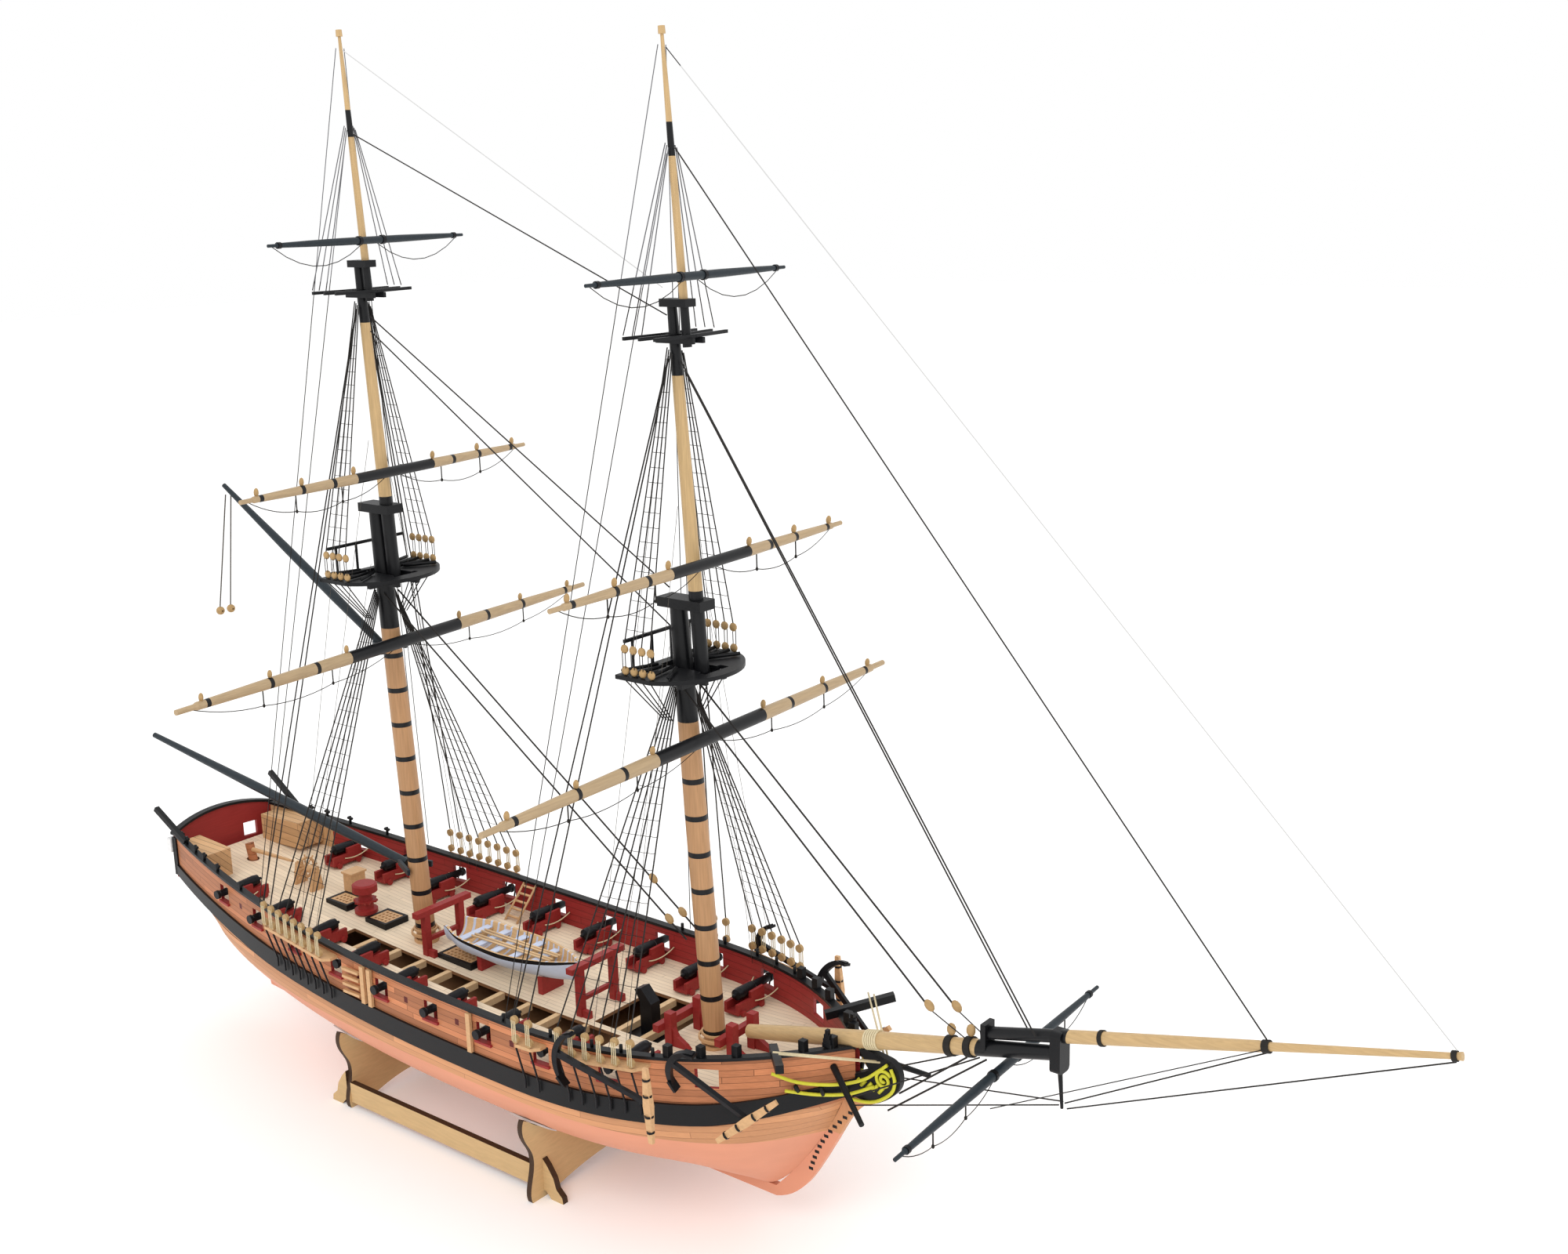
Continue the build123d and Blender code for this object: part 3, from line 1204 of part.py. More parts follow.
def upper_deadeye(x, side):
    return x, side * deadeye_y(x), channel_top(x) + LANYARD + DEADEYE_R * 2 + 0.4


def channel_shrouds(deadeye_x, head, high, backstays):
    """Lines from the channel's deadeyes; the after ones go higher, as backstays."""
    spans = []
    for i, x in enumerate(deadeye_x):
        for side in (1, -1):
            if i < backstays:
                end = (high[0] - 1.0, side * 3.4, high[2] - HEAD_STEP * i)
            else:
                end = (head[0] - 2.0 + 0.5 * i, side * (LOWER_R + 0.4), head[2] - HEAD_STEP * i)
            spans.append((upper_deadeye(x, side), end, SHROUD_R))
    return spans


def top_shrouds(mast, top_z, ahead, topmast_head):
    """Topmast shrouds above a top, and the futtock shrouds below it."""
    middle = mast_x(mast, top_z)
    head_x = mast_x(mast, topmast_head, ahead)
    spans = []
    for i, offset in enumerate(TOP_DEADEYE_X):
        for side in (1, -1):
            foot = (middle + offset, side * TOP_DEADEYE_Y, top_z + 13.0)
            head = (head_x - 1.2 + 0.8 * i, side * 3.5, topmast_head - HEAD_STEP * i)
            spans.append((foot, head, SHROUD_R * 0.85))
            rim = (middle + offset, side * (TOP_DEADEYE_Y + 0.3), top_z - TOP_T - 0.2)
            leg = (middle + offset * 0.35, side * 10.5, top_z - 22)
            spans.append((rim, leg, SHROUD_R * 0.85))
    return spans


def crosstree_shrouds(mast, crosstree, ahead, pole_head, pole_ahead):
    """Topgallant shrouds above the crosstrees, and their futtocks below."""
    middle = mast_x(mast, crosstree, ahead)
    pole_x = mast_x(mast, pole_head, pole_ahead)
    spans = []
    for i, offset in enumerate((-7.5, -2.6, 2.4)):
        for side in (1, -1):
            head = (pole_x - 0.8 + 0.8 * i, side * 2.4, pole_head - HEAD_STEP * i)
            spans.append(((middle + offset, side * 22.0, crosstree + 2.0), head, SHROUD_R * 0.7))
    return spans


def pole_backstays(mast, ahead, feet, heads):
    """Thin backstays from the rail to the topgallant and royal heads."""
    spans = []
    for x, z in zip(feet, heads):
        for side in (1, -1):
            foot = (x, side * (half_breadth(x) + 1.6), rail_z(x) + 0.3)
            spans.append((foot, (mast_x(mast, z, ahead) - 0.5, side * 2.3, z), SHROUD_R * 0.6))
    return spans


main_shrouds = channel_shrouds(MAIN_DEADEYE_X, mast_point(MAIN_MAST, 260.0),
                               mast_point(MAIN_MAST, 391.5, MAIN_TOPMAST_AHEAD), 2)
main_shrouds += top_shrouds(MAIN_MAST, MAIN_TOP_Z, MAIN_TOPMAST_AHEAD, 395.0)
main_shrouds += crosstree_shrouds(MAIN_MAST, MAIN_CROSSTREE_Z, MAIN_TOPMAST_AHEAD, 474.0, MAIN_POLE_AHEAD)
main_shrouds += pole_backstays(MAIN_MAST, MAIN_POLE_AHEAD, (-199.0, -203.0), (470.0, 508.0))
finish(lines(main_shrouds), "main_shrouds")

fore_shrouds = channel_shrouds(FORE_DEADEYE_X, mast_point(FORE_MAST, 241.5), None, 0)
fore_shrouds += channel_shrouds(SMALL_DEADEYE_X, None, mast_point(FORE_MAST, 377.0, FORE_TOPMAST_AHEAD), 2)
fore_shrouds += top_shrouds(FORE_MAST, FORE_TOP_Z, FORE_TOPMAST_AHEAD, 380.5)
fore_shrouds += crosstree_shrouds(FORE_MAST, FORE_CROSSTREE_Z, FORE_TOPMAST_AHEAD, 460.0, FORE_POLE_AHEAD)
fore_shrouds += pole_backstays(FORE_MAST, FORE_POLE_AHEAD, (-13.0, -17.0), (456.0, 497.0))
finish(lines(fore_shrouds), "fore_shrouds")

HEARTS = ((174.8, 126.6, 189.0), (165.4, 126.4, 181.0))    # x, z of the heart, x of the bowsprit collar


def bowsprit_top(x):
    (x0, _, z0), (x1, _, z1) = BOWSPRIT
    return z0 + (x - x0) * (z1 - z0) / (x1 - x0) + 4.1


stay_spans = [
    ((-146.8, 0.0, 381.0), (34.8, 0.0, 263.0), STAY_R * 0.8),
    ((-146.6, 0.0, 388.0), (34.6, 0.0, 280.0), STAY_R * 0.8),
    ((-147.8, 0.0, 470.0), (39.4, 0.0, 393.0), STAY_R * 0.7),
    ((-150.8, 0.0, 507.0), (37.6, 0.0, 404.0), STAY_R * 0.5),
    ((47.0, 1.0, 371.0), (206.5, 3.4, 126.6), STAY_R * 0.8),
    ((46.9, -1.0, 375.0), (213.8, -3.4, 128.6), STAY_R * 0.8),
    ((47.4, 0.0, 458.0), (303.0, 0.0, 152.3), STAY_R * 0.7),
    ((44.6, 0.0, 496.0), (366.5, 0.0, 167.5), STAY_R * 0.5),
    ((148.8, 0.0, 82.9), (181.0, 0.0, 108.6), STAY_R),
    ((143.0, 0.0, 73.4), (190.0, 0.0, 110.4), STAY_R),
    ((224.6, 0.0, 103.0), (303.0, 0.0, 147.4), STAY_R * 0.7),
    ((225.6, 0.0, 101.0), (366.5, 0.0, 163.4), STAY_R * 0.7),
]
for side, (x, z, foot_x) in zip((1, -1), HEARTS):
    stay_spans.append(((-147.0, side * 4.4, 256.0), (40.0, side * 4.4, 123.9), STAY_R))
    stay_spans.append(((44.8, side * 5.0, 238.6), (x, side * 2.6, z), STAY_R))
    stay_spans.append(((x + 0.8, side * 2.6, z - 0.8), (foot_x, side * 1.2, bowsprit_top(foot_x)),
                       STAY_R * 0.6))
    stay_spans.append(((223.0, side * 1.6, 102.5), (136.0, side * 14.5, 80.0), STAY_R * 0.7))
    stay_spans.append(((136.0, side * 15.5, 84.0), (190.0, side * 4.9, 113.4), STAY_R * 0.8))
    stay_spans.append(((214.0, side * 36.0, 113.6), (302.0, side * 2.0, 149.0), STAY_R * 0.5))
finish(lines(stay_spans), "stays")

# ---------------------------------------------------------------- vang pendants on the gaff peak
PENDANT_R = 0.35
BLOCK_R = 2.2
PENDANTS = (("port", (-274.0, 2.4, 294.0), (-289.0, 5.4, 230.6)),
            ("starboard", (-272.0, -2.4, 293.0), (-282.6, -5.4, 232.4)))
for name, peak, low in PENDANTS:
    finish(lines([(peak, low, PENDANT_R)]), f"vang_pendant_{name}")
with BuildPart() as vang_blocks:
    for _, _, (x, y, z) in PENDANTS:
        with Locations((x, y, z - BLOCK_R - 0.1)):
            Sphere(BLOCK_R)
            Box(6, 1.1, 0.8, mode=Mode.SUBTRACT)
finish(vang_blocks.part, "vang_blocks")

# ---------------------------------------------------------------- stand
CRADLE_TIP_Z = 42.0
PLANK_Y = (43.4, 46.4)
PLANK_TOP = 13.7
PLANK_LOW = 3.2
LAP_Z = 8.6
PAD_GAP = 0.3
PAD_T = 0.9
CRADLE_SIDE = [(0.0, 42.0), (1.2, 38.0), (-0.5, 31.0), (-4.0, 24.0), (-4.6, 18.0), (-2.6, 9.0), (-1.8, 3.5),
               (-2.6, 0.0)]


def cradle(x):
    """Upright board cut to the hull's section, with ogee sides and a keel slot."""
    reach = section_y(x, CRADLE_TIP_Z) + 1.4
    heights = [20.5, 23.0, 27.0, 32.0, 37.0, 41.0]
    hull_side = [(section_y(x, z) + PAD_GAP + PAD_T, z - 0.6) for z in heights]
    with BuildPart() as board:
        with BuildSketch(Plane.YZ.offset(x - PLY / 2)):
            for side in (1, -1):
                outer = [(side * (reach + 1.4 + dy), z) for dy, z in CRADLE_SIDE]
                inner = [(side * y, z) for y, z in hull_side]
                with BuildLine():
                    bed = Spline((side * 2.3, 18.6), *inner)
                    tip = Line(bed @ 1, outer[0])
                    edge = Spline(*outer)
                    foot = Line(edge @ 1, (edge @ 1) - Vector(side * 11, 0, 0))
                    arch = ThreePointArc(foot @ 1, (side * 20, 4.6), (0, 6.0))
                    Line(arch @ 1, (0, KEEL_Z - PAD_GAP))
                    Line((0, KEEL_Z - PAD_GAP), (side * 2.3, KEEL_Z - PAD_GAP))
                    Line((side * 2.3, KEEL_Z - PAD_GAP), bed @ 0)
                make_face()
        extrude(amount=PLY)
        for side in (1, -1):
            slab((x - PLY, x + PLY), (side * PLANK_Y[0], side * PLANK_Y[1]), (PLANK_LOW - 0.1, LAP_Z),
                 mode=Mode.SUBTRACT)
    return board.part


for x, name in zip(CRADLE_X, ("cradle_aft", "cradle_fore")):
    finish(cradle(x), name)

with BuildPart() as stand_planks:
    front, back = CRADLE_X[1], CRADLE_X[0]
    outline = [(back - 3, PLANK_LOW), (front + 3, PLANK_LOW), (front + 6, 0.0), (front + 13.5, 0.0),
               (front + 13.0, 3.0), (front + 9.5, 6.0), (front + 8.0, 11.0), (front + 4.5,
                                                                              16.0), (front + 1.6, 19.0),
               (front + 1.6, PLANK_TOP), (back - 1.6, PLANK_TOP), (back - 1.6, 19.0), (back - 4.5, 16.0),
               (back - 8.0, 11.0), (back - 9.5, 6.0), (back - 13.0, 3.0), (back - 13.5, 0.0), (back - 6, 0.0)]
    for low, high in (PLANK_Y, (-PLANK_Y[1], -PLANK_Y[0])):
        plate_xz(outline, low, high)
    for x in CRADLE_X:
        slab((x - PLY / 2, x + PLY / 2), (-WIDE, WIDE), (LAP_Z, TALL), mode=Mode.SUBTRACT)
finish(stand_planks.part, "stand_planks")

PAD_REACH = 10.0
PAD_Z = (35.0, 41.0)


def pad(x, side):
    """Soft strip between the hull and a cradle's tip."""
    faces = []
    for station in (x - PAD_REACH, x, x + PAD_REACH):
        heights = [PAD_Z[0] + i * (PAD_Z[1] - PAD_Z[0]) / 3 for i in range(4)]
        near = [(side * (section_y(station, z) + PAD_GAP), z) for z in heights]
        far = [(side * (section_y(station, z) + PAD_GAP + PAD_T - 0.1), z - 0.3) for z in heights]
        with BuildSketch(Plane(origin=(station, 0, 0), x_dir=(0, 1, 0), z_dir=(1, 0, 0))) as face:
            with BuildLine():
                Polyline(*near, *reversed(far), close=True)
            make_face()
        faces.append(face.sketch)
    loft(faces, ruled=True)


with BuildPart() as cradle_pads:
    for x in CRADLE_X:
        for side in (1, -1):
            pad(x, side)
finish(cradle_pads.part, "cradle_pads")
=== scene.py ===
"""Looks of the display brig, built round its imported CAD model.

Sizes are in mm here and are turned into metres as the pieces are made.
"""

import bpy
from math import atan2, cos, pi, radians, sin
from mathutils import Matrix, Vector


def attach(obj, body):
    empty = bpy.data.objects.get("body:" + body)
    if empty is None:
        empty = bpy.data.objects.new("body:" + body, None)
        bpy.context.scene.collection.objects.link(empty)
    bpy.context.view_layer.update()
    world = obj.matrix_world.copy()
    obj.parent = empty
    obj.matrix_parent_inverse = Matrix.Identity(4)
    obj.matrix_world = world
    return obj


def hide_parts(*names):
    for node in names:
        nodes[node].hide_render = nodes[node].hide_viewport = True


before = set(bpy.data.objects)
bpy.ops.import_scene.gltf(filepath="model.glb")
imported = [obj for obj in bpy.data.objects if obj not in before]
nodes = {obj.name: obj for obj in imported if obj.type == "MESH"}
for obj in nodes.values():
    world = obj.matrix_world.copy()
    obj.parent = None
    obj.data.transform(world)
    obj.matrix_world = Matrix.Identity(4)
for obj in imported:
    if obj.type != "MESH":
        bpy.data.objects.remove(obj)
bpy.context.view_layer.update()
MM = 0.001

# ---------------------------------------------------------------- shape of the ship, as in the CAD
MID_X, STEM_X = -28.5, 129.5
# The rail's sheer: a parabola from its lowest point, steeper forward than aft.
RAIL_LOW_X, RAIL_LOW_Z = -17.0, 90.6
RAIL_RISE_AFT, RAIL_RISE_FORE = 2.06e-4, 4.0e-4
# Each mast's x at height zero and its slope, then how far ahead of it the topmast stands.
MAIN_MAST, FORE_MAST = (-136.04, -0.05807), (55.02, -0.05786)
MAIN_TOPMAST_AHEAD, FORE_TOPMAST_AHEAD = 7.9, 10.35
MAIN_TOP_Z, FORE_TOP_Z = 266.0, 247.5
GUN_PITCH, FIRST_GUN_X = 35.3, -244.6
# Channels: after end, fore end, how far the deadeyes stand out, and depth below the rail.
CHANNELS = [(-192.5, -137.0, 7.6, 3.6), (16.0, 57.5, 7.2, 3.4), (-9.0, 6.0, 6.6, 4.2)]
MAIN_DEADEYE_X = [-188.5 + 6.7 * i for i in range(8)]
FORE_DEADEYE_X = [19.5 + 6.9 * i for i in range(6)]
SMALL_DEADEYE_X = [-5.5, 2.5]
TOP_DEADEYE_X = [-8.5, -3.7, 1.1, 5.9]
DEADEYE_R = 1.9
LANYARD = 9.4
HEAD_STEP = 0.9


def rail_z(x):
    rise = RAIL_RISE_AFT if x < RAIL_LOW_X else RAIL_RISE_FORE
    return RAIL_LOW_Z + rise * (x - RAIL_LOW_X) ** 2


def half_breadth(x):
    if x > MID_X:
        return 60 * (1 - min((x - MID_X) / (STEM_X - MID_X), 1.0) ** 2.8)
    return 60 - 21 * ((MID_X - x) / 248) ** 2.6


def deck_z(x):
    return rail_z(x) - 17.5


def mast_x(mast, z, ahead=0.0):
    return mast[0] + mast[1] * z + ahead


def bowsprit_z(x):
    return 87.6 + (x - 70.5) * 0.2329


def jibboom_z(x):
    return 121.6 + (x - 188.6) * 0.24694


def channel_for(x):
    return next(channel for channel in CHANNELS if channel[0] <= x <= channel[1])


def channel_top(x):
    start, end, _, drop = channel_for(x)
    share = (x - start) / (end - start)
    return rail_z(start) * (1 - share) + rail_z(end) * share - drop


def deadeye_y(x):
    return half_breadth(x) + channel_for(x)[2] - 0.4


# ---------------------------------------------------------------- materials
class Value:
    """A number in a node tree; arithmetic on it adds nodes."""

    def __init__(self, shade, socket):
        self.shade = shade
        self.socket = socket

    def math(self, operation, *others):
        node = self.shade.nodes.new("ShaderNodeMath")
        node.operation = operation
        for slot, value in zip(node.inputs, (self, *others)):
            self.shade.connect(value, slot)
        return Value(self.shade, node.outputs[0])

    def __add__(self, other):
        return self.math("ADD", other)

    def __sub__(self, other):
        return self.math("SUBTRACT", other)

    def __mul__(self, other):
        return self.math("MULTIPLY", other)

    def __truediv__(self, other):
        return self.math("DIVIDE", other)

    def above(self, other):
        return self.math("GREATER_THAN", other)

    def below(self, other):
        return self.math("LESS_THAN", other)

    def fract(self):
        return self.math("FRACT")

    def floor(self):
        return self.math("FLOOR")

    def abs(self):
        return self.math("ABSOLUTE")

    def inverse(self):
        return self.shade.number(1.0) - self


class Shade:
    """A principled material whose colour comes from the place on the object, in mm."""

    def __init__(self, name, roughness=0.55, metallic=0.0, coat=0.0):
        self.material = bpy.data.materials.new(name)
        self.material.use_nodes = True
        self.nodes = self.material.node_tree.nodes
        self.links = self.material.node_tree.links
        self.nodes.clear()
        self.surface = self.nodes.new("ShaderNodeBsdfPrincipled")
        output = self.nodes.new("ShaderNodeOutputMaterial")
        self.links.new(self.surface.outputs[0], output.inputs[0])
        self.surface.inputs["Roughness"].default_value = roughness
        self.surface.inputs["Metallic"].default_value = metallic
        self.surface.inputs["Coat Weight"].default_value = coat
        self.surface.inputs["Specular IOR Level"].default_value = 0.25
        coords = self.nodes.new("ShaderNodeTexCoord")
        place = self.nodes.new("ShaderNodeSeparateXYZ")
        self.links.new(coords.outputs["Object"], place.inputs[0])
        self.x, self.y, self.z = (Value(self, out) * 1000.0 for out in place.outputs)
        facing = self.nodes.new("ShaderNodeSeparateXYZ")
        self.links.new(coords.outputs["Normal"], facing.inputs[0])
        self.nx, self.ny, self.nz = (Value(self, out) for out in facing.outputs)

    def connect(self, value, slot):
        if isinstance(value, Value):
            self.links.new(value.socket, slot)
        else:
            slot.default_value = value

    def number(self, value):
        node = self.nodes.new("ShaderNodeValue")
        node.outputs[0].default_value = value
        return Value(self, node.outputs[0])

    def vector(self, x, y, z):
        node = self.nodes.new("ShaderNodeCombineXYZ")
        for value, slot in zip((x, y, z), node.inputs):
            self.connect(value, slot)
        return node.outputs[0]

    def noise(self, x_scale, y_scale, z_scale, detail=3.0):
        node = self.nodes.new("ShaderNodeTexNoise")
        node.inputs["Scale"].default_value = 1.0
        node.inputs["Detail"].default_value = detail
        place = self.vector(self.x * x_scale, self.y * y_scale, self.z * z_scale)
        self.links.new(place, node.inputs["Vector"])
        return Value(self, node.outputs[0])

    def random(self, a, b):
        node = self.nodes.new("ShaderNodeTexWhiteNoise")
        node.noise_dimensions = "2D"
        self.links.new(self.vector(a, b, 0.0), node.inputs["Vector"])
        return Value(self, node.outputs["Value"])

    def mix(self, first, second, share):
        node = self.nodes.new("ShaderNodeMix")
        node.data_type = "RGBA"
        self.connect(share, node.inputs[0])
        for colour, slot in ((first, node.inputs[6]), (second, node.inputs[7])):
            if isinstance(colour, tuple):
                slot.default_value = (*colour, 1.0)
            else:
                self.links.new(colour, slot)
        return node.outputs[2]

    def tone(self, colour, amount):
        """Colour made darker or lighter by a number round one."""
        node = self.nodes.new("ShaderNodeHueSaturation")
        self.connect(amount, node.inputs["Value"])
        if isinstance(colour, tuple):
            node.inputs["Color"].default_value = (*colour, 1.0)
        else:
            self.links.new(colour, node.inputs["Color"])
        return node.outputs[0]

    def grain(self, x_scale=0.08, y_scale=1.4, z_scale=1.4, depth=0.25):
        """Wood figure: a tone round one, drawn out along one direction."""
        return self.noise(x_scale, y_scale, z_scale) * (2 * depth) + (1 - depth)

    def finish(self, colour, bump=None, strength=0.25):
        if isinstance(colour, tuple):
            self.surface.inputs["Base Color"].default_value = (*colour, 1.0)
        else:
            self.links.new(colour, self.surface.inputs["Base Color"])
        if bump is not None:
            node = self.nodes.new("ShaderNodeBump")
            node.inputs["Distance"].default_value = 0.0002
            node.inputs["Strength"].default_value = strength
            self.connect(bump, node.inputs["Height"])
            self.links.new(node.outputs[0], self.surface.inputs["Normal"])
        return self.material


BLACK = (0.0035, 0.0038, 0.005)
RED = (0.30, 0.026, 0.024)
PEAR = (0.46, 0.175, 0.078)
TAN = (0.58, 0.28, 0.135)
SALMON = (0.70, 0.30, 0.185)
DECK_COLOUR = (0.84, 0.69, 0.51)
NATURAL = (0.60, 0.36, 0.18)
TAR = (0.018, 0.016, 0.015)
PALE_THREAD = (0.55, 0.55, 0.55)
GREY_THREAD = (0.13, 0.13, 0.14)
YARD_WOOD = (0.43, 0.31, 0.18)
SPAR = (0.53, 0.36, 0.175)
LOWER_SPAR = (0.47, 0.26, 0.125)
DARK_SPAR = (0.016, 0.024, 0.031)
YELLOW = (0.60, 0.57, 0.040)
PLYWOOD = (0.58, 0.40, 0.20)
CHARRED = (0.05, 0.025, 0.012)
BROWN = (0.26, 0.13, 0.06)
BOAT_BLUE = (0.56, 0.62, 0.78)


def plain(name, colour, roughness=0.55, depth=0.12, metallic=0.0, scales=(0.3, 0.9, 0.9)):
    shade = Shade(name, roughness, metallic)
    return shade.finish(shade.tone(colour, shade.grain(*scales, depth)), shade.noise(0.9, 2.5, 2.5), 0.15)


def rail_drop(shade):
    """Depth below the sheer line of the rail."""
    forward = shade.x.above(RAIL_LOW_X)
    curve = forward * (RAIL_RISE_FORE - RAIL_RISE_AFT) + RAIL_RISE_AFT
    run = shade.x - RAIL_LOW_X
    return curve * run * run + RAIL_LOW_Z - shade.z


def strakes(shade, across, along, width, length):
    """Planks: a tone for each plank, and a mask of the seams and butts between them."""
    row = (across / width).floor()
    shift = shade.random(row, 3.7) * length
    column = ((along + shift) / length).floor()
    seam = (across / width).fract().below(0.085)
    butt = ((along + shift) / length).fract().below(0.3 / length)
    return shade.random(row, column), seam.math("MAXIMUM", butt)


def outward(shade):
    """Mask of the faces that look away from the ship's middle."""
    side = shade.y.math("SIGN")
    return (side * shade.ny + shade.nx * 0.3).above(0.35)


def side_paint(name, port_holes):
    shade = Shade(name, 0.5)
    drop = rail_drop(shade)
    tone, seam = strakes(shade, drop, shade.x, 2.9, 95.0)
    planks = shade.tone(shade.tone(PEAR, tone * 0.62 + 0.70), shade.grain(0.06, 0.5, 2.2, 0.26))
    planks = shade.mix(planks, (0.12, 0.045, 0.02), seam * 0.75)
    if port_holes:
        # Painted shade: small dark red squares stand in for the shaded inside of the little ports between
        # the guns.
        run = ((shade.x - (FIRST_GUN_X + GUN_PITCH / 2)) / GUN_PITCH + 0.5).fract() - 0.5
        port_shade = (run * GUN_PITCH).abs().below(1.3) * (drop - 9.5).abs().below(1.5)
        inside = shade.x.above(FIRST_GUN_X) * shade.x.below(45.0)
        planks = shade.mix(planks, (0.10, 0.010, 0.008), port_shade * inside)
        _, red_seam = strakes(shade, drop, shade.x, 3.6, 80.0)
        red = shade.tone(RED, shade.grain(0.1, 0.5, 1.5, 0.25))
        red = shade.mix(red, (0.08, 0.008, 0.006), red_seam * 0.7)
        quarter = shade.tone(NATURAL, shade.grain(0.9, 0.9, 0.08, 0.25))
        red = shade.mix(red, quarter, shade.x.below(-264.0))
        return shade.finish(shade.mix(red, planks, outward(shade)), seam.inverse(), 0.3)
    low_tone, low_seam = strakes(shade, drop, shade.x, 3.1, 120.0)
    strip = shade.tone(shade.tone(TAN, low_tone * 0.3 + 0.86), shade.grain(0.06, 0.6, 2.0, 0.15))
    strip = shade.mix(strip, (0.25, 0.10, 0.05), low_seam * 0.55)
    bottom = shade.tone(SALMON, shade.grain(0.02, 0.05, 0.12, 0.10))
    run = shade.x - RAIL_LOW_X
    line = run * run * 4.0e-5 + 54.0
    hull = shade.mix(strip, bottom, (line - shade.z).above(0.0))
    colour = shade.mix(planks, hull, drop.above(26.0))
    return shade.finish(colour, seam.inverse(), 0.2)


def deck_paint(name):
    shade = Shade(name, 0.6)
    tone, seam = strakes(shade, shade.y, shade.x, 2.7, 62.0)
    planks = shade.tone(shade.tone(DECK_COLOUR, tone * 0.16 + 0.92), shade.grain(0.08, 1.2, 1.2, 0.10))
    top = shade.mix(planks, (0.30, 0.22, 0.14), seam * 0.55)
    below = shade.tone(BROWN, shade.grain())
    return shade.finish(shade.mix(below, top, shade.nz.above(0.4)), seam.inverse(), 0.2)


def stay_paint():
    """Tarred line, with the two thin royal stays in pale thread."""
    shade = Shade("stay_paint", 0.7)
    fore_royal = (shade.z + (shade.x - 44.6) * 1.0205 - 496.0).abs().below(2.5) * shade.x.above(52.0)
    main_royal = (shade.z + (shade.x + 150.8) * 0.5467 - 507.0).abs().below(2.0) * shade.x.below(38.0)
    return shade.finish(shade.mix(TAR, PALE_THREAD, fore_royal + main_royal))


def shroud_paint():
    """Tarred line that turns to thin grey thread above the crosstrees."""
    shade = Shade("shroud_paint", 0.7)
    return shade.finish(shade.mix(TAR, GREY_THREAD, shade.z.above(405.0)))


def planked(name, colour, width):
    """Natural timber laid in narrow planks fore and aft."""
    shade = Shade(name, 0.55)
    tone, seam = strakes(shade, shade.y + shade.z, shade.x, width, 90.0)
    wood = shade.tone(shade.tone(colour, tone * 0.3 + 0.85), shade.grain(0.08, 1.0, 1.0, 0.18))
    return shade.finish(shade.mix(wood, CHARRED, seam * 0.7), seam.inverse(), 0.2)


def two_sided(name, inner, outer):
    """Paint that differs between the forward and the after face."""
    shade = Shade(name, 0.5)
    colour = shade.mix(shade.tone(outer, shade.grain(1.0, 0.08, 1.4, 0.15)),
                       shade.tone(inner, shade.grain(1.0, 0.08, 1.4, 0.2)), shade.nx.above(-0.2))
    return shade.finish(colour, shade.noise(1.0, 0.2, 1.5), 0.15)


def spar_paint(name, colour, bands, black_spans, grain=(1.5, 1.5, 0.05)):
    """Spar stained along the grain, with black bands and black lengths between given heights."""
    shade = Shade(name, 0.42, coat=0.1)
    wood = shade.tone(colour, shade.grain(*grain, 0.28))
    black = shade.number(0.0)
    for low, high in black_spans:
        black = black.math("MAXIMUM", shade.z.above(low) * shade.z.below(high))
    if bands:
        first, pitch, last, width = bands
        band = ((shade.z - first) / pitch).fract().below(width / pitch)
        black = black.math("MAXIMUM", band * shade.z.above(first) * shade.z.below(last))
    return shade.finish(shade.mix(wood, BLACK, black), shade.noise(2.0, 2.0, 0.2), 0.12)


def yard_paint(name, colour, half):
    """Yard with a black middle and two black hoops on each natural arm."""
    shade = Shade(name, 0.45, coat=0.08)
    wood = shade.tone(colour, shade.grain(1.5, 0.05, 1.5, 0.25))
    out = shade.y.abs() / half
    black = out.below(0.27)
    for share in (0.42, 0.62, 0.875):
        black = black.math("MAXIMUM", (out - share).abs().below(1.1 / half))
    return shade.finish(shade.mix(wood, BLACK, black), shade.noise(2.0, 0.2, 2.0), 0.12)


def plywood_paint(name, axis):
    """Pale sheet whose laser-cut edges are charred."""
    shade = Shade(name, 0.6)
    face = (shade.nx if axis == "x" else shade.ny).abs().above(0.5)
    scales = (1.0, 0.15, 0.9) if axis == "x" else (0.12, 1.0, 0.9)
    wood = shade.tone(PLYWOOD, shade.grain(*scales, 0.14))
    return shade.finish(shade.mix(shade.tone(CHARRED, shade.grain(1, 1, 1, 0.4)), wood, face),
                        shade.noise(*scales), 0.12)


def bowsprit_paint():
    shade = Shade("bowsprit_paint", 0.42, coat=0.1)
    wood = shade.tone(SPAR, shade.grain(0.05, 1.5, 1.5, 0.25))
    return shade.finish(shade.mix(wood, BLACK, shade.x.above(186.5)), shade.noise(0.2, 2.0, 2.0), 0.12)


def jibboom_paint():
    shade = Shade("jibboom_paint", 0.42, coat=0.1)
    wood = shade.tone(SPAR, shade.grain(0.05, 1.5, 1.5, 0.25))
    black = shade.x.below(226.0)
    return shade.finish(shade.mix(wood, BLACK, black), shade.noise(0.2, 2.0, 2.0), 0.12)


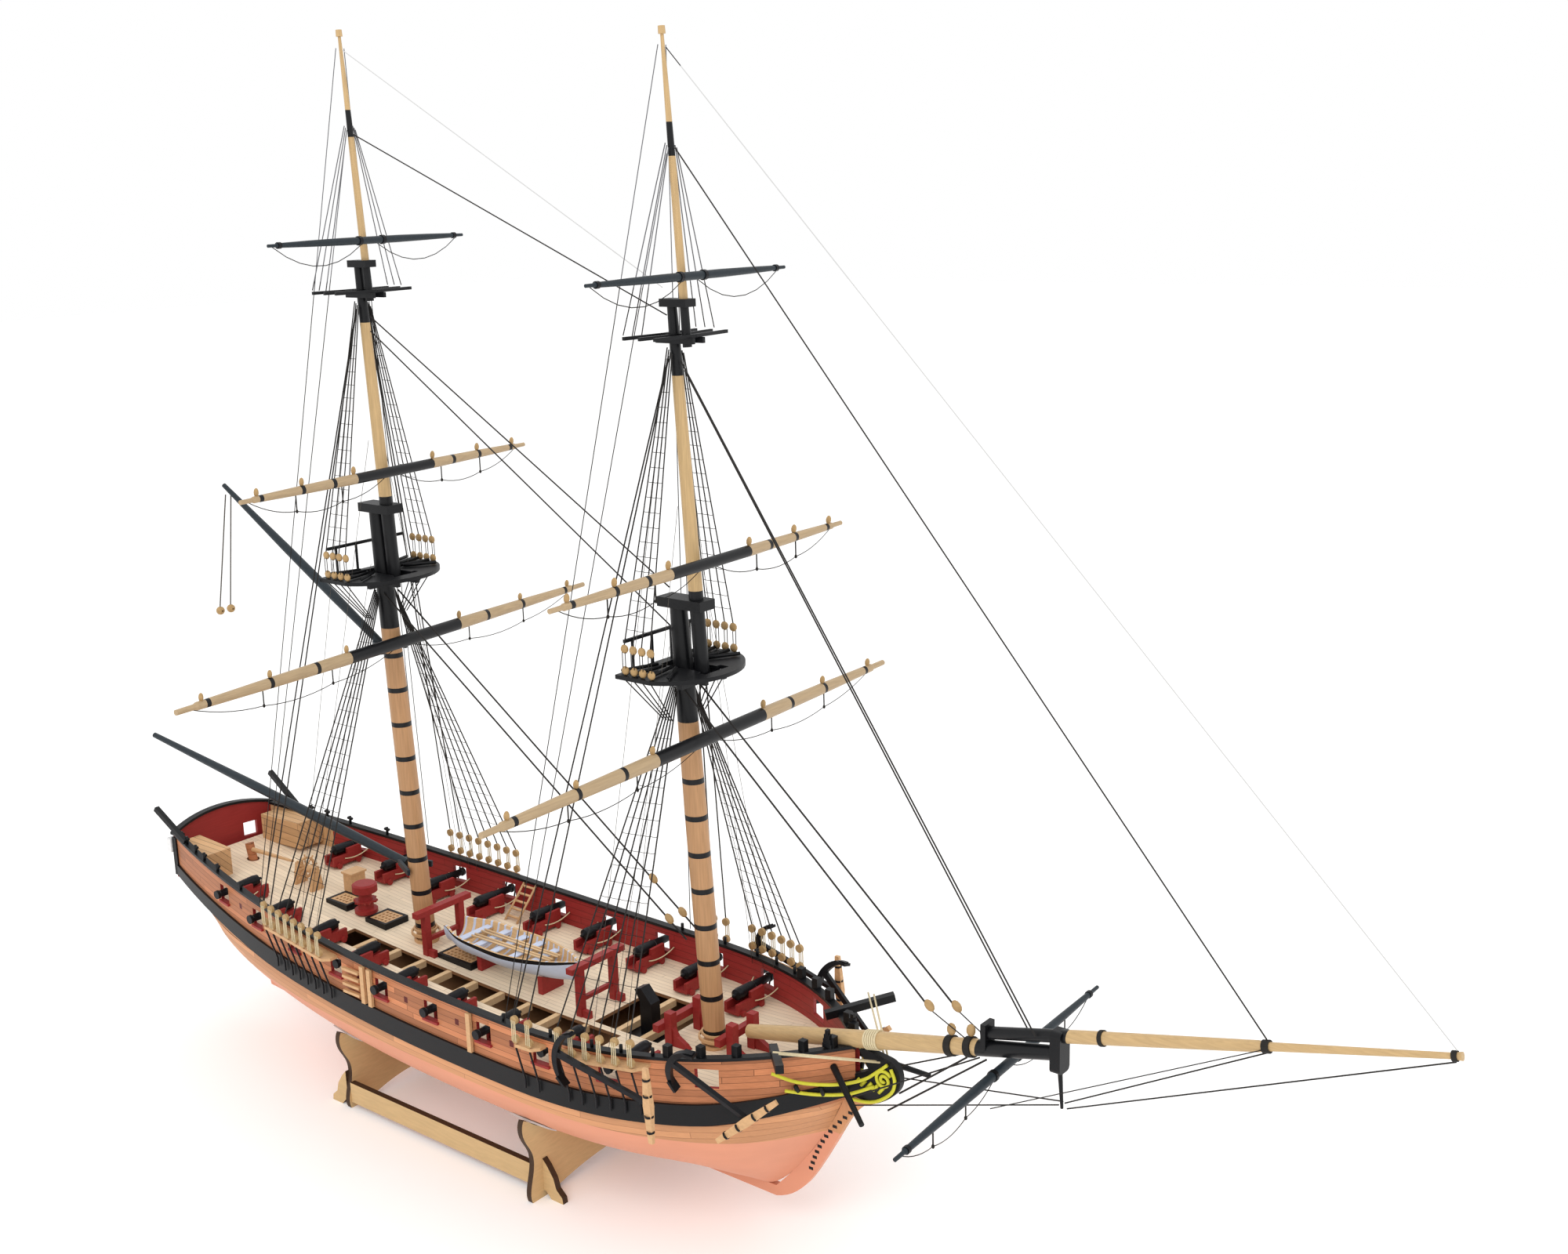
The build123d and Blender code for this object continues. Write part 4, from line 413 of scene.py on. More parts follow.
def boat_paint():
    """Pale blue hull with a black strake, and a light timber inside with blue-white frames."""
    shade = Shade("boat_paint", 0.5)
    out = (shade.y.math("SIGN") * shade.ny - shade.nz * 0.6).above(0.12)
    share = (shade.x + 74.5) / 43.5
    rim = share.abs() * share.abs() * 3.2 + 90.9
    strake = (rim - shade.z).below(2.2)
    outside = shade.mix(shade.tone((0.58, 0.66, 0.80), shade.grain(0.1, 1.0, 1.0, 0.08)), BLACK, strake)
    frames = ((shade.x / 4.4).fract() - 0.5).abs().below(0.14)
    inside = shade.tone((0.66, 0.43, 0.22), shade.grain(0.08, 1.5, 1.5, 0.2))
    inside = shade.mix(inside, BOAT_BLUE, frames)
    top = (rim - shade.z).below(0.3)
    inside = shade.mix(inside, (0.62, 0.40, 0.20), top)
    return shade.finish(shade.mix(inside, outside, out), shade.noise(0.3, 1.5, 1.5), 0.12)


def stem_paint():
    shade = Shade("stem_paint", 0.5)
    wood = shade.tone(TAN, shade.grain(0.5, 0.5, 0.12, 0.2))
    bottom = shade.tone(SALMON, shade.grain(0.02, 0.05, 0.1, 0.08))
    head = shade.mix(wood, BLACK, (shade.z - 76.0).above(0.0) * shade.x.above(126.0))
    return shade.finish(shade.mix(bottom, head, (shade.z - 55.5).above(0.0)), shade.noise(1, 1, 1), 0.1)


black = plain("black_paint", BLACK, 0.45, 0.3)
red = plain("red_paint", RED, 0.5, 0.25)
natural = plain("natural_timber", NATURAL, 0.5, 0.22, scales=(0.5, 0.9, 0.9))
pale = plain("pale_timber", (0.72, 0.50, 0.28), 0.55, 0.15)
brown = plain("brown_timber", BROWN, 0.6, 0.25)
iron = plain("black_iron", (0.014, 0.014, 0.016), 0.35, 0.3, metallic=0.6)
tarred = plain("tarred_line", (0.016, 0.014, 0.012), 0.7, 0.4)
fine_line = plain("fine_line", (0.09, 0.08, 0.07), 0.7, 0.3)
cream_line = plain("cream_line", (0.66, 0.56, 0.36), 0.8, 0.2)
block_wood = plain("block_wood", (0.42, 0.27, 0.12), 0.5, 0.25)
dark_spar = plain("dark_spar", DARK_SPAR, 0.45, 0.35)
yellow = plain("yellow_paint", YELLOW, 0.45, 0.15)
felt = plain("felt", (0.62, 0.62, 0.62), 0.95, 0.15)
white = plain("white_paint", (0.80, 0.80, 0.80), 0.5, 0.05)
lower_main = spar_paint("main_mast_paint", LOWER_SPAR, (84.0, 17.4, 236.0, 2.4), [(238.0, 320.0)])
lower_fore = spar_paint("fore_mast_paint", LOWER_SPAR, (81.0, 16.4, 222.0, 2.4), [(223.0, 300.0)])
top_main = spar_paint("main_topmast_paint", SPAR, None, [(200.0, 303.0), (385.0, 412.0), (469.0, 481.0)])
top_fore = spar_paint("fore_topmast_paint", SPAR, None, [(200.0, 280.5), (369.0, 398.0), (455.0, 468.0)])

PAINTS = {
    "hull_planking": side_paint("bottom_and_topsides", False),
    "hull_frames": brown,
    "keel_and_stem": stem_paint(),
    "wales": black,
    "bulwark_port": side_paint("bulwark_paint", True),
    "transom": two_sided("stern_paint", RED, BLACK),
    "rail_cap": black,
    "deck": deck_paint("deck_planks"),
    "deck_beams": pale,
    "hatch_coamings": black,
    "gratings": natural,
    "stove_chimney": iron,
    "gallows_and_bitts": red,
    "binnacle": natural,
    "stern_lockers": planked("locker_paint", NATURAL, 4.2),
    "wheel_stand": natural,
    "steering_wheel": natural,
    "tiller": natural,
    "capstan": red,
    "gun_barrels": iron,
    "gun_carriages": red,
    "deadeyes": block_wood,
    "chainplates": iron,
    "channels_and_steps": natural,
    "head_rails": yellow,
    "bow_timbers": black,
    "anchors": iron,
    "anchor_stocks": natural,
    "quarter_davits": black,
    "ships_boat": boat_paint(),
    "boat_chocks": red,
    "main_lower_mast": lower_main,
    "fore_lower_mast": lower_fore,
    "main_topmast": top_main,
    "fore_topmast": top_fore,
    "mast_tops": black,
    "caps_and_crosstrees": black,
    "bowsprit": bowsprit_paint(),
    "jibboom": jibboom_paint(),
    "main_yard": yard_paint("main_yard_paint", YARD_WOOD, 136.1),
    "fore_yard": yard_paint("fore_yard_paint", YARD_WOOD, 136.1),
    "main_topsail_yard": yard_paint("main_topsail_paint", YARD_WOOD, 92.7),
    "fore_topsail_yard": yard_paint("fore_topsail_paint", YARD_WOOD, 97.0),
    "main_topgallant_yard": dark_spar,
    "fore_topgallant_yard": dark_spar,
    "spritsail_yard": dark_spar,
    "boom": dark_spar,
    "gaff": dark_spar,
    "main_shrouds": shroud_paint(),
    "fore_shrouds": shroud_paint(),
    "stays": stay_paint(),
    "vang_pendant_port": fine_line,
    "vang_pendant_starboard": fine_line,
    "vang_blocks": block_wood,
    "cradle_aft": plywood_paint("cradle_ply", "x"),
    "stand_planks": plywood_paint("plank_ply", "y"),
    "cradle_pads": felt,
}
PAINTS["bulwark_starboard"] = PAINTS["bulwark_port"]
PAINTS["cradle_fore"] = PAINTS["cradle_aft"]
PAINTS["rudder"] = PAINTS["hull_planking"]
for name, obj in nodes.items():
    obj.data.materials.clear()
    obj.data.materials.append(PAINTS[name])

# ---------------------------------------------------------------- small pieces
def new_piece(name, points, faces, material, body, smooth=True):
    mesh = bpy.data.meshes.new(name)
    mesh.from_pydata([tuple(c * MM for c in p) for p in points], [], faces)
    mesh.materials.append(material)
    for face in mesh.polygons:
        face.use_smooth = smooth
    obj = bpy.data.objects.new(name, mesh)
    bpy.context.scene.collection.objects.link(obj)
    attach(obj, body)
    return obj


def tube_mesh(routes, radius, sides):
    """Points and faces of round tubes along routes, each a list of points."""
    points, faces = [], []
    for route in routes:
        route = [Vector(p) for p in route]
        first = len(points)
        previous = None
        for i, place in enumerate(route):
            ahead = route[min(i + 1, len(route) - 1)] - route[max(i - 1, 0)]
            ahead.normalize()
            if previous is None:
                seed = Vector((0, 0, 1)) if abs(ahead.z) < 0.9 else Vector((1, 0, 0))
                previous = ahead.cross(seed).normalized()
            right = (previous - ahead * previous.dot(ahead)).normalized()
            up = ahead.cross(right)
            previous = right
            for k in range(sides):
                angle = 2 * pi * k / sides
                points.append(place + right * (radius * cos(angle)) + up * (radius * sin(angle)))
        for i in range(len(route) - 1):
            for k in range(sides):
                a = first + i * sides + k
                b = first + i * sides + (k + 1) % sides
                faces.append((a, b, b + sides, a + sides))
        faces.append(tuple(first + k for k in reversed(range(sides))))
        last = first + (len(route) - 1) * sides
        faces.append(tuple(last + k for k in range(sides)))
    return points, faces


def tubes(name, routes, radius, material, body, sides=6):
    points, faces = tube_mesh(routes, radius, sides)
    return new_piece(name, points, faces, material, body)


def sag(start, end, depth, steps=8):
    """Line that hangs between two points."""
    a, b = Vector(start), Vector(end)
    shares = [i / steps for i in range(steps + 1)]
    return [a.lerp(b, share) - Vector((0, 0, depth * 4 * share * (1 - share))) for share in shares]


def pebbles(name, places, size, material, body, rings=6, sides=10):
    """Small rounded blocks: places holds (centre, long axis)."""
    points, faces = [], []
    width, length, thick = size
    for centre, axis in places:
        axis = Vector(axis).normalized()
        seed = Vector((0, 1, 0)) if abs(axis.y) < 0.9 else Vector((1, 0, 0))
        right = axis.cross(seed).normalized()
        up = axis.cross(right)
        first = len(points)
        for i in range(rings + 1):
            lean = pi * i / rings
            for k in range(sides):
                turn = 2 * pi * k / sides
                ring = max(sin(lean), 0.04)
                points.append(Vector(centre) + axis * (-cos(lean) * length / 2)
                              + right * (ring * cos(turn) * width / 2) + up * (ring * sin(turn) * thick / 2))
        for i in range(rings):
            for k in range(sides):
                a = first + i * sides + k
                b = first + i * sides + (k + 1) % sides
                faces.append((a, b, b + sides, a + sides))
        faces.append(tuple(first + k for k in reversed(range(sides))))
        faces.append(tuple(first + rings * sides + k for k in range(sides)))
    return new_piece(name, points, faces, material, body)


def rings(name, places, material, body, slot_name, thick=0.5, sides=20):
    """Flat hoops: places holds (centre, axis, radius, width)."""
    points, faces = [], []
    for centre, axis, radius, width in places:
        axis = Vector(axis).normalized()
        seed = Vector((0, 1, 0)) if abs(axis.y) < 0.9 else Vector((1, 0, 0))
        right = axis.cross(seed).normalized()
        up = axis.cross(right)
        first = len(points)
        section = [(-width / 2, 0), (-width / 2, thick), (width / 2, thick), (width / 2, 0)]
        for k in range(sides):
            turn = 2 * pi * k / sides
            out = right * cos(turn) + up * sin(turn)
            for along, extra in section:
                points.append(Vector(centre) + axis * along + out * (radius + extra))
        for k in range(sides):
            for j in range(4):
                a = first + k * 4 + j
                b = first + k * 4 + (j + 1) % 4
                c = first + ((k + 1) % sides) * 4 + (j + 1) % 4
                d = first + ((k + 1) % sides) * 4 + j
                faces.append((a, b, c, d))
    return new_piece(name, points, faces, material, body, smooth=False)


def boxes(name, items, material, body, bevel=0.25):
    """Small squared timbers: items holds (centre, size, turn about Z in degrees)."""
    points, faces = [], []
    for centre, size, turn in items:
        spin = Matrix.Rotation(radians(turn), 3, "Z")
        first = len(points)
        for sx in (-1, 1):
            for sy in (-1, 1):
                for sz in (-1, 1):
                    corner = Vector((sx * size[0] / 2, sy * size[1] / 2, sz * size[2] / 2))
                    points.append(Vector(centre) + spin @ corner)
        for quad in ((0, 1, 3, 2), (4, 6, 7, 5), (0, 4, 5, 1), (2, 3, 7, 6), (0, 2, 6, 4), (1, 5, 7, 3)):
            faces.append(tuple(first + k for k in quad))
    obj = new_piece(name, points, faces, material, body, smooth=False)
    soften = obj.modifiers.new("edges", "BEVEL")
    soften.width = bevel * MM
    soften.segments = 2
    return obj


# ---------------------------------------------------------------- lower rigging
def plate(name, outline, half, material, body):
    """A flat plate on the centre plane, from its outline in x and z."""
    count = len(outline)
    points = [(x, y, z) for y in (half, -half) for x, z in outline]
    faces = [tuple(range(count)), tuple(reversed(range(count, 2 * count)))]
    faces += [(i, i + count, (i + 1) % count + count, (i + 1) % count) for i in range(count)]
    return new_piece(name, points, faces, material, body, smooth=False)


def shroud_line(x, mast, head_z, index, high):
    """Ends of one lower shroud or backstay on the port side."""
    foot = (x, deadeye_y(x), channel_top(x) + LANYARD + DEADEYE_R * 2 + 0.4)
    if high:
        ahead, z = high
        return foot, (mast_x(mast, z, ahead) - 1.0, 3.4, z - HEAD_STEP * index)
    return foot, (mast_x(mast, head_z) - 2.0 + 0.5 * index, 5.4, head_z - HEAD_STEP * index)


def mirror(route, side):
    return [(p[0], p[1] * side, p[2]) for p in route]


def at_height(line, z):
    (x0, y0, z0), (x1, y1, z1) = line
    share = (z - z0) / (z1 - z0)
    return (x0 + (x1 - x0) * share, y0 + (y1 - y0) * share, z)


main_lines = [shroud_line(x, MAIN_MAST, 260.0, i, (MAIN_TOPMAST_AHEAD, 391.5) if i < 2 else None)
              for i, x in enumerate(MAIN_DEADEYE_X)]
fore_lines = [shroud_line(x, FORE_MAST, 241.5, i, None) for i, x in enumerate(FORE_DEADEYE_X)]


def ratlines(lines, start, end, pitch):
    routes = []
    z = start
    while z < end:
        for side in (1, -1):
            ends = [at_height(line, z) for line in lines]
            for a, b in zip(ends, ends[1:]):
                routes.append(mirror(sag(a, b, 0.25, 3), side))
        z += pitch
    return routes


def top_lines(mast, top_z, ahead, head):
    """Topmast shrouds of the port side."""
    middle = mast_x(mast, top_z)
    head_x = mast_x(mast, head, ahead)
    return [((middle + offset, 26.3, top_z + 13.0), (head_x - 1.2 + 0.8 * i, 3.5, head - HEAD_STEP * i))
            for i, offset in enumerate(TOP_DEADEYE_X)]


main_top_lines = top_lines(MAIN_MAST, MAIN_TOP_Z, MAIN_TOPMAST_AHEAD, 395.0)
fore_top_lines = top_lines(FORE_MAST, FORE_TOP_Z, FORE_TOPMAST_AHEAD, 380.5)
tubes("ratlines", ratlines(main_lines[2:], 118.0, 240.0, 6.4) + ratlines(fore_lines, 116.0, 222.0, 6.4)
      + ratlines(main_top_lines, 285.0, 378.0, 6.0) + ratlines(fore_top_lines, 267.0, 364.0, 6.0),
      0.13, tarred, "hull", 4)

lanyard_routes = []
for x in MAIN_DEADEYE_X + FORE_DEADEYE_X + SMALL_DEADEYE_X:
    for side in (1, -1):
        for shift in (-1.1, 0.0, 1.1):
            y = side * (deadeye_y(x) + 0.9)
            lanyard_routes.append([(x + shift, y, channel_top(x) + DEADEYE_R - 0.3),
                                   (x + shift * 0.9, y, channel_top(x) + LANYARD + DEADEYE_R)])
tubes("lanyards", lanyard_routes, 0.24, cream_line, "hull", 5)

top_discs = []
top_lanyards = []
for mast, top_z in ((MAIN_MAST, MAIN_TOP_Z), (FORE_MAST, FORE_TOP_Z)):
    for offset in TOP_DEADEYE_X:
        for side in (1, -1):
            x = mast_x(mast, top_z) + offset
            for lift in (2.0, 11.2):
                top_discs.append(((x, side * 26.3, top_z + lift), (0, 1, 0)))
            for shift in (-0.8, 0.8):
                top_lanyards.append([(x + shift, side * 26.9, top_z + 2.0),
                                     (x + shift, side * 26.9, top_z + 11.2)])
pebbles("top_deadeyes", top_discs, (4.0, 2.2, 4.0), block_wood, "hull")
tubes("top_lanyards", top_lanyards, 0.2, tarred, "hull", 5)

# ---------------------------------------------------------------- yards: footropes, stirrups and blocks
# Each yard: its middle's x and z, half length, lean in degrees and radius.
YARDS = {
    "main_yard": (-139.2, 232.6, 136.1, -5.4, 3.0),
    "main_topsail_yard": (-137.5, 315.7, 92.7, -5.4, 2.4),
    "main_topgallant_yard": (-141.6, 422.8, 61.1, -5.4, 1.7),
    "fore_yard": (54.3, 217.8, 136.1, -3.0, 3.0),
    "fore_topsail_yard": (57.7, 293.1, 97.0, -3.0, 2.4),
    "fore_topgallant_yard": (53.6, 408.7, 63.5, -3.0, 1.7),
    "spritsail_yard": (198.6, 110.6, 81.0, -3.0, 1.9),
}


def on_yard(yard, reach, drop=0.0, aft=0.0):
    """Point beside a yard, by signed distance from its middle."""
    x, z, _, lean, _ = yard
    return (x + reach * sin(radians(lean)) - aft, reach * cos(radians(lean)), z - drop)


for name, yard in YARDS.items():
    half, radius = yard[2], yard[4]
    body = "hull" if name == "spritsail_yard" else name
    dark = name in ("main_topgallant_yard", "fore_topgallant_yard", "spritsail_yard")
    lines, stirrups, drops, block_places = [], [], [], []
    bays = 1 if half < 75 else 3
    depth = 9.0 if half < 75 else 5.5
    for side in (1, -1):
        stops = [side * half * 0.95 * (1 - i / bays) + side * 5.0 * i / bays for i in range(bays + 1)]
        rope_drop = [0.6] + [radius + 7.0] * (bays - 1) + [radius]
        spots = [on_yard(yard, reach, drop, radius * 0.6) for reach, drop in zip(stops, rope_drop)]
        for a, b in zip(spots, spots[1:]):
            lines.append(sag(a, b, depth * (0.35 if bays > 1 else 1.0), 7))
        for reach, spot in list(zip(stops, spots))[1:-1]:
            stirrups.append([on_yard(yard, reach, radius * 0.6, radius * 0.6), spot])
            drops.append((spot, (0, 0, 1)))
        for share in ((0.9, 0.62, 0.28) if half > 75 else (0.93,)):
            lift = radius * (1 - 0.6 * share * share) + 1.7
            block_places.append((on_yard(yard, side * half * share, -lift), (0.2, 0, 1)))
    tubes(name + "_footropes", lines, 0.2, tarred, body, 4)
    if stirrups:
        tubes(name + "_stirrups", stirrups, 0.32, tarred, body, 5)
        pebbles(name + "_stirrup_ends", drops, (1.3, 1.8, 1.3), tarred, body)
    if not dark:
        pebbles(name + "_blocks", block_places, (2.6, 4.2, 2.0), block_wood, body)
    else:
        across = (sin(radians(yard[3])), cos(radians(yard[3])), 0)
        hoops = [(on_yard(yard, side * half * share), across, radius * (1 - 0.5 * share * share), 1.8)
                 for share in (0.12, 0.9) for side in (1, -1)]
        rings(name + "_hoops", hoops, iron, body, "black_iron", 0.45, 14)

# ---------------------------------------------------------------- head of the ship
def smooth(route, steps=10):
    """Rounded line through a few points (Catmull-Rom)."""
    pts = [Vector(p) for p in route]
    pts = [pts[0] * 2 - pts[1], *pts, pts[-1] * 2 - pts[-2]]
    out = []
    for i in range(1, len(pts) - 2):
        a, b, c, d = pts[i - 1:i + 3]
        for j in range(steps):
            t = j / steps
            out.append(((b * 2) + (c - a) * t + (a * 2 - b * 5 + c * 4 - d) * t * t
                        + (b * 3 - a - c * 3 + d) * t ** 3) / 2)
    return out + [pts[-2]]


HEAD_UPPER = [(104.0, 27.0, 89.5), (113.0, 20.5, 85.5), (124.0, 11.5, 84.0), (133.5, 4.6, 86.0),
              (140.0, 2.4, 91.0), (144.5, 2.4, 95.0)]
HEAD_MIDDLE = [(108.0, 23.5, 81.5), (118.0, 15.0, 79.2), (128.0, 7.2, 79.2), (138.0, 2.4, 83.5)]
HEAD_LOWER = [(126.0, 4.6, 75.6), (134.0, 2.2, 75.2), (141.0, 2.2, 78.4), (146.6, 2.2, 83.6),
              (148.0, 2.2, 89.0), (146.2, 2.2, 93.6)]
SCROLL = (142.4, 87.6)
head_routes = []
for side in (1, -1):
    head_routes += [mirror(smooth(route), side) for route in (HEAD_UPPER, HEAD_MIDDLE, HEAD_LOWER)]
    spiral = []
    for i in range(34):
        turn = i * 0.34
        reach = 4.3 * (1 - i / 38)
        turned = turn + 0.6
        spiral.append((SCROLL[0] + reach * cos(turned), side * 2.1, SCROLL[1] + reach * sin(turned)))
    head_routes.append(spiral)
    for i in range(5):
        x = 128.0 + i * 3.0
        head_routes.append([(x, side * 2.0, 82.0 - i * 0.2), (x + 2.4, side * 2.0, 84.6 - i * 0.1)])
head = tubes("yellow_head_rails", head_routes, 0.75, yellow, "hull", 8)
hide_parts("head_rails")
brackets = []
for side in (1, -1):
    for x, upper, lower in ((112.0, (21.5, 84.0), (19.5, 80.2)), (120.0, (14.8, 83.0), (13.4, 79.0)),
                            (128.0, (8.2, 83.6), (6.9, 79.3))):
        brackets.append([(x, side * upper[0], upper[1]), (x, side * lower[0], lower[1])])
tubes("head_brackets", brackets, 1.0, black, "hull", 6)
gammon = []
for shift in (0.0, 3.0):
    gammon.append([(110.0 + shift, 33.0, 103.5), (139.5 + shift * 0.6, 2.8, 95.5)])
    gammon.append([(110.0 + shift, -33.0, 103.5), (139.5 + shift * 0.6, -2.8, 95.5)])
tubes("head_lines", gammon, 0.4, cream_line, "hull", 6)
marks = []
for i in range(12):
    share = i / 11
    z = 34.0 + 33.0 * share
    x = 103.5 + 21.5 * share - 3.2 * sin(share * pi)
    for side in (1, -1):
        marks.append(((x, side * 1.66, z), (2.2, 0.2, 1.3), 0))
boxes("draft_marks", marks, black, "hull", 0.04)
knee_outline = [(116.0, 79.0), (126.0, 75.4), (134.0, 75.0), (141.0, 78.2), (146.8, 83.4), (147.6, 89.0),
                (145.8, 93.6), (141.0, 93.8), (134.0, 89.0), (126.0, 85.0), (116.0, 84.5)]
plate("head_knee", knee_outline, 1.78, black, "hull")
# The deadwood closes the wedge between the planking's end and the sternpost.
deadwood_outline = [(-255.0, 15.5), (-258.6, 15.5), (-264.4, 37.5), (-262.4, 37.5)]
plate("deadwood", deadwood_outline, 1.45, PAINTS["keel_and_stem"], "hull")
knightheads = []
for side in (1, -1):
    for reach, size in ((0.0, 4.6), (2.0, 3.8), (4.0, 2.8), (6.0, 1.6)):
        knightheads.append(((119.5, side * 8.8, 99.2 + reach), (size, 2.0, 2.1), 0))
boxes("knightheads", knightheads, black, "hull", 0.2)
BOWSPRIT_RUN = (0.974, 0, 0.227)
turns = []
for k in range(6):
    x = 134.0 + k * 1.1
    z = bowsprit_z(x)
    turns.append(((x, 0, z), BOWSPRIT_RUN, 3.75, 0.8))
rings("gammoning", turns, cream_line, "hull", "tan_line", 0.45, 24)
collars = []
heart_places = []
for x in (174.0, 183.0):
    z = bowsprit_z(x)
    collars.append(((x, 0, z), BOWSPRIT_RUN, 3.4, 3.0))
    heart_places.append(((x, 0, z + 7.0), (0.2, 0, 1)))
rings("stay_collars", collars, tarred, "hull", "black_line", 0.8, 24)
heart_places += [((174.8, 2.6, 127.6), (0.7, 0, -0.7)), ((165.4, -2.6, 127.4), (0.7, 0, -0.7)),
                 ((30.3, 4.4, 131.3), (0.8, 0, -0.6)), ((30.3, -4.4, 131.3), (0.8, 0, -0.6)),
                 ((13.6, 4.4, 143.3), (0.8, 0, -0.6))]
pebbles("hearts", heart_places, (4.2, 5.4, 2.4), block_wood, "hull")

# ---------------------------------------------------------------- hull fittings
gun_x = [FIRST_GUN_X + i * GUN_PITCH for i in range(9)]
ledges = []
for x in gun_x:
    for side in (1, -1):
        lean = -side * 57.3 * atan2(half_breadth(x - 4) - half_breadth(x + 4), 8)
        y = half_breadth(x)
        ledges.append(((x, side * (y + 0.5), rail_z(x) - 14.3), (10.5, 1.6, 1.2), lean))
boxes("port_frames", ledges, red, "hull", 0.15)

tackles = []
for x in gun_x:
    for side in (1, -1):
        edge = half_breadth(x) - 1.8
        for cheek in (1, -1):
            inner = (x + cheek * 4.6, side * (edge - 15.0), deck_z(x) + 4.6)
            ring = (x + cheek * 8.0, side * (edge - 0.4), deck_z(x) + 7.4)
            tackles.append(sag(inner, ring, 1.6, 8))
tubes("gun_breechings", tackles, 0.32, cream_line, "hull", 5)

pins = []
for side in (1, -1):
    for x in (-298.0, -291.0, -279.0, -268.0, -252.0, -226.0):
        y = side * (half_breadth(x) - 0.8)
        pins.append([(x, y, rail_z(x) - 0.5), (x, y, rail_z(x) + 4.0)])
        pins.append([(x - 1.8, y, rail_z(x) + 2.8), (x + 1.8, y, rail_z(x) + 2.8)])
    for x in (-20.0, 8.0, 30.0, 44.0, 58.0):
        y = side * (half_breadth(x) - 0.8)
        pins.append([(x, y, rail_z(x) - 0.5), (x, y, rail_z(x) + 3.2)])
tubes("rail_pins", pins, 0.8, black, "hull", 6)

ladder = []
for x in (-127.0, -118.5):
    ladder.append([(x, 41.0, deck_z(x) + 0.3), (x, 56.5, deck_z(x) + 16.6)])
for i in range(5):
    share = 0.12 + i * 0.19
    ladder.append([(-127.0, 41.0 + 15.5 * share, deck_z(-122) + 0.3 + 16.3 * share),
                   (-118.5, 41.0 + 15.5 * share, deck_z(-122) + 0.3 + 16.3 * share)])
tubes("deck_ladder", ladder, 0.75, natural, "hull", 4)

coats = []
for mast in (MAIN_MAST, FORE_MAST):
    for lift, radius, width in ((0.9, 5.4, 1.8), (4.6, 6.6, 1.4), (6.6, 5.2, 1.0)):
        z = deck_z(mast_x(mast, 76)) + lift
        coats.append(((mast_x(mast, z), 0, z), (0.058, 0, 1), radius, width))
rings("mast_coats", coats, natural, "hull", "natural_timber", 0.8, 28)

stern_boards = [((-310.8, side * 31.0, 100.5), (4.0, 6.0, 8.0), 0) for side in (1, -1)]
boxes("stern_boards", stern_boards, white, "hull", 0.5)

# ---------------------------------------------------------------- ship's boat
boat_lines = []
for y in (-4.4, -2.2, 2.0, 4.2):
    boat_lines.append([(-101.0, y, 90.2), (-48.0, y * 0.8, 90.4)])
tubes("boat_oars", boat_lines, 0.5, pale, "boat", 6)
thwarts = []
for x in (-104.0, -92.0, -80.0, -68.0, -56.0):
    share = (x + 118.0) / 87.0
    swell = 1 - abs(share - 0.42) ** 2.4 / (0.42**2.4 * 2.2 if share < 0.42 else 0.58**2.4)
    thwarts.append(((x, 0, 89.1), (4.0, 2 * 13.5 * swell - 2.6, 0.8), 0))
boxes("boat_thwarts", thwarts, plain("boat_light", BOAT_BLUE, 0.5, 0.1), "boat", 0.2)

# ---------------------------------------------------------------- anchors and running rigging
bands = []
for ring_end, stock in (((72.0, 63.5, 80.6), (-0.05, 0.0, 1.0)), ((106.0, 42.5, 75.0), (0.75, -0.3, 0.65))):
    for side in (1, -1):
        middle = Vector((ring_end[0] - 1.5, side * (ring_end[1] + 1.7), ring_end[2] + 0.8))
        lean = Vector((stock[0], side * stock[1], stock[2])).normalized()
        for reach in (-11.5, -4.5, 4.5, 11.5):
            bands.append((tuple(middle + lean * reach), tuple(lean), 1.9 - abs(reach) * 0.04, 0.9))
rings("stock_bands", bands, iron, "hull", "black_iron", 0.3, 10)

falls = []
for mast, ahead, top, feet in ((MAIN_MAST, MAIN_TOPMAST_AHEAD, 390.0, (-172.0, -166.0, -160.0)),
                               (FORE_MAST, FORE_TOPMAST_AHEAD, 376.0, (28.0, 44.0, 36.0))):
    for i, x in enumerate(feet):
        z = top - i * 60.0
        lead = ahead if z > 300 else 0.0
        for side in (1, -1):
            head_point = (mast_x(mast, z, lead) - 2.0, side * (3.4 + i), z)
            foot_point = (x, side * (half_breadth(x) - 2.6), rail_z(x) - 4.0)
            falls.append([foot_point, head_point])
tubes("falls", falls, 0.14, fine_line, "hull", 4)

# ---------------------------------------------------------------- fittings of the tops and the jibboom
# Ribs of a top: where each starts and ends, ahead of the mast and out to the side.
TOP_RIBS = (((4.0, 9.0), (12.0, 23.0)), ((2.0, 9.0), (4.5, 25.0)), ((-2.0, 9.0), (-4.0, 25.5)),
            ((-6.0, 9.0), (-12.0, 25.0)))
ribs = []
for mast, top_z in ((MAIN_MAST, MAIN_TOP_Z), (FORE_MAST, FORE_TOP_Z)):
    middle = mast_x(mast, top_z)
    for side in (1, -1):
        for near, far in TOP_RIBS:
            ribs.append([(middle + near[0], side * near[1], top_z + 1.2),
                         (middle + far[0], side * far[1], top_z + 1.2)])
tubes("top_ribs", ribs, 0.8, black, "hull", 4)
jib_collars = []
for x, radius, width in ((240.0, 2.5, 1.6), (303.0, 1.8, 2.6), (366.0, 1.25, 1.8)):
    jib_collars.append(((x, 0, jibboom_z(x)), (0.971, 0, 0.24), radius, width))
